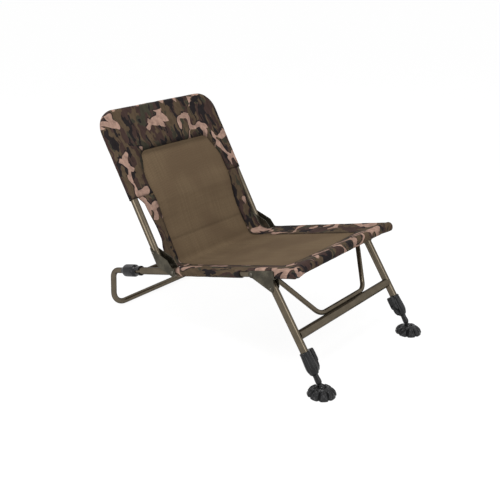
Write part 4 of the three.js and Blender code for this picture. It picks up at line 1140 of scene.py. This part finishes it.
# Leg clamps, in the leg's own coordinates
CLAMP_PROFILE = mm(
    (11.2, -262), (11.2, -241.2), (13.6, -241.2), (14.6, -242.4), (15, -245.5), (14.7, -247.5), (14.9, -250),
    (15.4, -257), (15.9, -264), (16.4, -271), (16.8, -278), (16.9, -284), (16.6, -289), (15.7, -293.5),
    (14.3, -297.5), (12.6, -301.6), (11, -304.2), (9.6, -305.6), (8.1, -305.6), (8.1, -262), (11.2, -262))
LUG_OUTLINE = mm(
    (12, -267), (27.5, -267), (28.7, -269.5), (28.7, -284), (26.8, -291.5), (21.5, -298.5), (17, -301.2),
    (12, -298.5))
THUMB_OUTLINE = mm(
    (16.2, -241), (23.5, -239.7), (27, -241), (28.3, -245.5), (28.7, -255), (28.7, -265.5), (17.5, -265.5),
    (16.6, -255))
CHEEK_OUTLINE = mm(
    (16.8, -262), (28.5, -262), (28.5, -272), (26.8, -276.2), (22.2, -281.2), (18.6, -281.8), (16.6, -280))
# The flutes' number, depth, least distance from the axis, heights, and how they fade at both ends
FLUTES, FLUTE_DEPTH, FLUTE_REACH = 9, 0.0022, 0.012
FLUTE_LOW, FLUTE_HIGH = -0.303, -0.2455
FLUTE_FADES = ((1, -0.2465, -0.003), (1, -0.301, 0.012))
# The flat behind the lever: its place, heights and half width, and half widths of the lug and the lever's parts
LEVER_FLAT, FLAT_LOW, FLAT_HIGH, FLAT_HALF = 0.0138, -0.29, -0.262, 0.0102
LUG_HALF, THUMB_HALF, CHEEK_HALF, CHEEK_SHIFT = 0.0042, 0.0085, 0.002, 0.0065


def clamp(name, matrix, sign):
    """Egg-shaped clamp body with grip flutes, a flat behind the lever and the lug that it turns on."""
    bm = bmesh.new()
    lathe(bm, CLAMP_PROFILE, Matrix.Identity(4), CLAMP_SIDES)
    for vert in bm.verts:
        x, y, z = vert.co
        reach = hypot(x, y)
        if reach >= FLUTE_REACH and FLUTE_LOW < z < FLUTE_HIGH:
            flute = abs(sin(FLUTES / 2 * atan2(y, x))) ** 3
            fade = prod(eased(z, *step) for step in FLUTE_FADES)
            vert.co.xy *= 1 - FLUTE_DEPTH * flute * fade / reach
        if FLAT_LOW < z < FLAT_HIGH and abs(vert.co.y) < FLAT_HALF and -sign * vert.co.x > LEVER_FLAT:
            vert.co.x = -sign * LEVER_FLAT
    drawn_out(bm, -sign, LUG_HALF, LUG_OUTLINE)
    finish_plastic(bm, matrix, f"clamp_body_{name}", "leg_frame", f"leg_clamp_{name}")


def finish_plastic(bm, matrix, name, body, node):
    bmesh.ops.transform(bm, matrix=matrix, verts=bm.verts)
    rounded(finish_piece(bm, name, "plastic", body, (node,), False))


def drawn_out(bm, side, half, outline, shift=0.0):
    """A side view drawn out to both sides of the lever's middle."""
    verts = [bm.verts.new((side * across, shift - half, along)) for across, along in outline]
    geom = bmesh.ops.extrude_face_region(bm, geom=[bm.faces.new(verts)])["geom"]
    bmesh.ops.translate(bm, vec=(0, 2 * half, 0), verts=verts_of(geom))
    faces = {face for vert in verts + verts_of(geom) for face in vert.link_faces}
    bmesh.ops.recalc_face_normals(bm, faces=list(faces))


def lever(name, matrix, sign):
    """Cam lever: a thumb plate up the leg and two cheeks round the clamp's lug."""
    bm = bmesh.new()
    drawn_out(bm, -sign, THUMB_HALF, THUMB_OUTLINE)
    for shift in (-CHEEK_SHIFT, CHEEK_SHIFT):
        drawn_out(bm, -sign, CHEEK_HALF, CHEEK_OUTLINE, shift)
    finish_plastic(bm, matrix, f"cam_lever_{name}", f"clamp_lever_{name}", f"clamp_lever_{name}")


BALL, NECK = 0.009, 0.00475
STEM = mm((4.75, 12.5), (6.8, 14.5), (8.2, 17.5), (8.4, 21), (8.2, 27), (7.7, 31))
STEM_TOP = mm((7.6, -168), (9, -168), (9, -150), (0, -150))


def inner_leg(name, matrix):
    """Stem with a swelling above its neck and the ball that the foot turns on."""
    end = -sizes().leg_length
    profile = []
    for share in shares(12, 1):
        angle = pi - (pi - asin(NECK / BALL)) * share
        profile.append((BALL * sin(angle) if share else 0, end + BALL * cos(angle)))
    profile += [(radius, end + up) for radius, up in STEM]
    bm = bmesh.new()
    lathe(bm, profile + STEM_TOP, matrix)
    finish_piece(bm, f"leg_stem_{name}", "plastic", f"inner_leg_{name}", (f"inner_leg_{name}",))


COLLAR_NECK = mm((11.2, 528.5), (10.4, 533), (9.8, 535.2))
BAR_CLEARANCE = 0.0004


def collar(name, matrix):
    """Twist collar: eight-sided grip, waist, a split flare that points forward and a short neck behind."""
    bm = copied(f"rear_collar_{name}")
    bore = sizes().bar / 2 + BAR_CLEARANCE
    front, back = ((bore, COLLAR_NECK[end][1]) for end in (0, -1))
    neck = lathe(bm, [front, *COLLAR_NECK, back, front], matrix)
    bmesh.ops.recalc_face_normals(bm, faces=list({face for vert in neck for face in vert.link_faces}))
    finish_plastic(bm, Matrix.Identity(4), f"twist_collar_{name}", f"rear_collar_{name}", f"rear_collar_{name}")


class CHAIR_OT_adjusters(Operator):
    """Leg clamps with their cam levers, inner legs and the rear bar's twist collars"""

    bl_idname = "chair.adjusters"
    bl_label = "Clamps, inner legs and collars"

    def execute(self, context):
        size = sizes()
        for name, sign in SIDES.items():
            x = sign * size.rail_spacing / 2
            leg = LEG @ Matrix.Translation((x, -size.leg_offset, 0))
            clamp(name, leg, sign)
            lever(name, leg, sign)
            inner_leg(name, leg)
            collar(name, RAIL @ Matrix.Translation((x, 0, 0)) @ Matrix.Rotation(-pi / 2, 4, "X"))
            for node, kind in (("lever_pin", "steel"), ("rail_cap", "plastic"), ("foot_cup", "plastic")):
                materials = frame["nodes"][f"{node}_{name}"].data.materials
                materials.clear()
                materials.append(look(kind))
        return {"FINISHED"}


# Mud feet: the dome's crown and the well for the ball's cup, then the lobes
CROWN, DOME_HEIGHT, WELL, WELL_FLOOR = 0.0145, 0.0245, 0.0098, 0.0195
LOBES, LOBE_INSET, LOBE_FLOOR = 8, 0.0046, 0.006
KNUCKLE_PLACE, VALLEY_DEPTH, VALLEY_SPAN = 0.029, 0.0036, 0.008
VALLEY, KNUCKLE, DIMPLE = (1, 0.3, 0.2), (0.0026, 0.0105, -0.004), (0.0034, 0.0062, -0.0022)


def foot(name, matrix, radius):
    """Low dome with eight knuckles, each with a dimple, round the ball's cup."""
    profile = [(0, 0), (radius - 0.0045, 0), (radius - 0.0012, 0.0011), (radius, 0.0032),
               (radius - 0.0004, 0.0055)]
    for share in shares(24)[1:]:
        profile.append((lerp(radius - 0.0012, CROWN, share), lerp(0.0068, DOME_HEIGHT, share ** 0.86)))
    profile += [(CROWN - 0.0008, DOME_HEIGHT + 0.0002), (WELL + 0.0006, DOME_HEIGHT),
                (WELL, DOME_HEIGHT - 0.0006), (WELL, WELL_FLOOR), (0, WELL_FLOOR)]
    bm = bmesh.new()
    lathe(bm, profile, Matrix.Identity(4), FOOT_SIDES)
    for vert in bm.verts:
        reach = hypot(vert.co.x, vert.co.y)
        if reach < CROWN:
            continue
        swing = (atan2(vert.co.y, vert.co.x) * LOBES / tau + 0.5) % 1 - 0.5
        away = hypot(reach - KNUCKLE_PLACE, swing * tau / LOBES * reach)
        valley = eased(abs(swing), *VALLEY)
        vert.co.xy *= 1 - eased(reach, LOBE_INSET * valley, CROWN, radius - CROWN) / reach
        if vert.co.z > LOBE_FLOOR:
            vert.co.z += (eased(away, *KNUCKLE) - eased(away, *DIMPLE)
                          - eased(reach, VALLEY_DEPTH * valley, CROWN, VALLEY_SPAN))
    bmesh.ops.transform(bm, matrix=matrix, verts=bm.verts)
    finish_piece(bm, f"mud_foot_{name}", "rubber", f"foot_pad_{name}", (f"foot_pad_{name}",))


class CHAIR_OT_feet(Operator):
    """Lobed rubber mud feet"""

    bl_idname = "chair.feet"
    bl_label = "Mud feet"

    def execute(self, context):
        for name in SIDES:
            low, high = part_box(f"foot_pad_{name}")
            centre = (low + high) / 2
            foot(name, Matrix.Translation((centre.x, centre.y, low.z)), sizes().foot / 2)
        return {"FINISHED"}


SEAM_GAP = 1.35          # from one stitch to the next, in stitch lengths
THREAD_HALVES = (0.0004, 0.0003)


def sew(bm, line):
    """Lays short threads end to end along a line."""
    size = cloth().stitch
    total = sum((b - a).length for a, b in zip(line, line[1:]))
    points = resampled(line, max(int(total / (size * SEAM_GAP)), 2))
    for a, b in zip(points, points[1:]):
        turn = (b - a).normalized().to_track_quat("X", "Z").to_matrix().to_4x4()
        shape = Matrix.Diagonal((size / 2, *THREAD_HALVES, 1))
        bmesh.ops.create_icosphere(
            bm, subdivisions=1, radius=1, matrix=Matrix.Translation((a + b) / 2) @ turn @ shape)


class CHAIR_OT_stitching(Operator):
    """Lock stitches along the seams and hems of the cloth"""

    bl_idname = "chair.stitching"
    bl_label = "Stitching"

    def execute(self, context):
        top = cloth().cloth / 2
        rows = cloth_rows()
        bm = bmesh.new()
        for sign in SIDES.values():
            line = []
            for i, row in enumerate(rows):
                local = cloth_point(row, row.half + 0.004) + cloth_normal(rows, i, row.half) * top
                line.append(RAIL @ vec(sign * local.x, *local.yz))
            sew(bm, line[8:])
        for stations in (back_stations(), seat_stations()):
            sew(bm, [RAIL @ (s.seam.lerp(s.centre + s.face * s.radius, 0.07) + s.face * top)
                     for s in stations])
        blend_cloth(finish_piece(bm, "seam_stitches", "thread"))
        return {"FINISHED"}


def seen_directly(nodes):
    """1 where a camera, mirrored or refracted ray sees the background."""
    path = nodes.add("LightPath", {})
    mirrored_ray = nodes.math("MAXIMUM", path["Is Glossy Ray"], path["Is Transmission Ray"])
    return nodes.math("MAXIMUM", path["Is Camera Ray"], mirrored_ray)


def floor_material():
    floor, nodes, shader = new_material("Studio floor")
    nodes.fill(shader, {"Base Color": colours().floor, "Roughness": 0.9, "Specular IOR Level": 0.1})
    glow = nodes.add("Emission", {"Color": (1, 1, 1, 1), "Strength": 1.14})
    share = nodes.times(seen_directly(nodes), 0.8)
    blend = nodes.add("MixShader", {0: share, 1: shader.outputs[0], 2: glow[0]})
    nodes.fill(nodes.tree.nodes["Material Output"], {"Surface": blend[0]})
    return floor


def add_world(scene):
    scene.world = bpy.data.worlds.new("Studio")
    scene.world.use_nodes = True
    nodes = Nodes(scene.world.node_tree)
    nodes.tree.nodes.clear()
    plain, white = (
        nodes.add("Background", {"Color": (1, 1, 1, 1), "Strength": power})[0] for power in (0.42, 1.0))
    blend = nodes.add("MixShader", {0: seen_directly(nodes), 1: plain, 2: white})
    nodes.add("OutputWorld", {"Surface": blend[0]})


def add_camera(scene):
    """Camera at the photograph's angle, solved from the chair's level and parallel tubes."""
    data = bpy.data.cameras.new("Camera")
    data.sensor_width = 36
    data.lens = 56.669
    camera = bpy.data.objects.new("Camera", data)
    scene.collection.objects.link(camera)
    right = vec(0.63338, -0.77375, 0.01216)
    down = vec(-0.27786, -0.24206, -0.92962)
    ahead = vec(0.72224, 0.58542, -0.36831)
    turn = Matrix((right, -down, -ahead)).transposed().to_4x4()
    camera.matrix_world = Matrix.Translation((-1.71951, -1.35844, 1.10027)) @ turn
    scene.camera = camera


class CHAIR_OT_stage(Operator):
    """Pale floor, soft studio lights and the camera"""

    bl_idname = "chair.stage"
    bl_label = "Stage"

    def execute(self, context):
        scene = context.scene
        scene.view_settings.view_transform = "Standard"
        bm = bmesh.new()
        bmesh.ops.create_grid(bm, x_segments=1, y_segments=1, size=30)
        floor = new_object("studio_floor", bm, floor_material())
        add_world(scene)
        for name, place, target, power, size in (
                ("front", (-0.1, -2.5, 1.6), (0, 0, 0.3), 11, 1.0),
                ("top", (-0.9, -0.5, 2.9), (0, 0, 0.3), 44, 1.2),
                ("rear", (0.5, 2.2, 2.1), (0, 0, 0.4), 13, 1.2),
                ("side", (-1.9, 0.1, 0.62), (-0.2, 0.2, 0.42), 7, 0.7)):
            lamp = bpy.data.lights.new(name, "AREA")
            lamp.energy, lamp.size = power, size
            obj = bpy.data.objects.new(name, lamp)
            scene.collection.objects.link(obj)
            obj.location = place
            obj.rotation_euler = (Vector(target) - Vector(place)).to_track_quat("-Z", "Y").to_euler()
        add_camera(scene)
        return {"FINISHED"}


STEPS = (
    CHAIR_OT_stage,
    CHAIR_OT_frame_tubes,
    CHAIR_OT_elbows,
    CHAIR_OT_adjusters,
    CHAIR_OT_feet,
    CHAIR_OT_mesh_cloth,
    CHAIR_OT_camouflage_cloth,
    CHAIR_OT_stitching,
)


class CHAIR_PT_panel(Panel):
    """Lists the chair's sizes, colours and building steps"""

    bl_idname = "CHAIR_PT_panel"
    bl_label = "Folding low chair"
    bl_space_type = "VIEW_3D"
    bl_region_type = "UI"
    bl_category = "Chair"

    def draw(self, context):
        for group in VALUES:
            values = getattr(context.scene, group)
            box = self.layout.box()
            for key in values.__annotations__:
                box.prop(values, key)
        for step in STEPS:
            self.layout.operator(step.bl_idname)


CLASSES = (*VALUES.values(), *STEPS, CHAIR_PT_panel)


def register():
    for item in CLASSES:
        bpy.utils.register_class(item)
    for name, values in VALUES.items():
        setattr(bpy.types.Scene, name, PointerProperty(type=values))


def unregister():
    for name in VALUES:
        delattr(bpy.types.Scene, name)
    for item in reversed(CLASSES):
        bpy.utils.unregister_class(item)


def main():
    register()
    for step in STEPS:
        category, name = step.bl_idname.split(".")
        getattr(getattr(bpy.ops, category), name)()


if __name__ == "__main__":
    main()
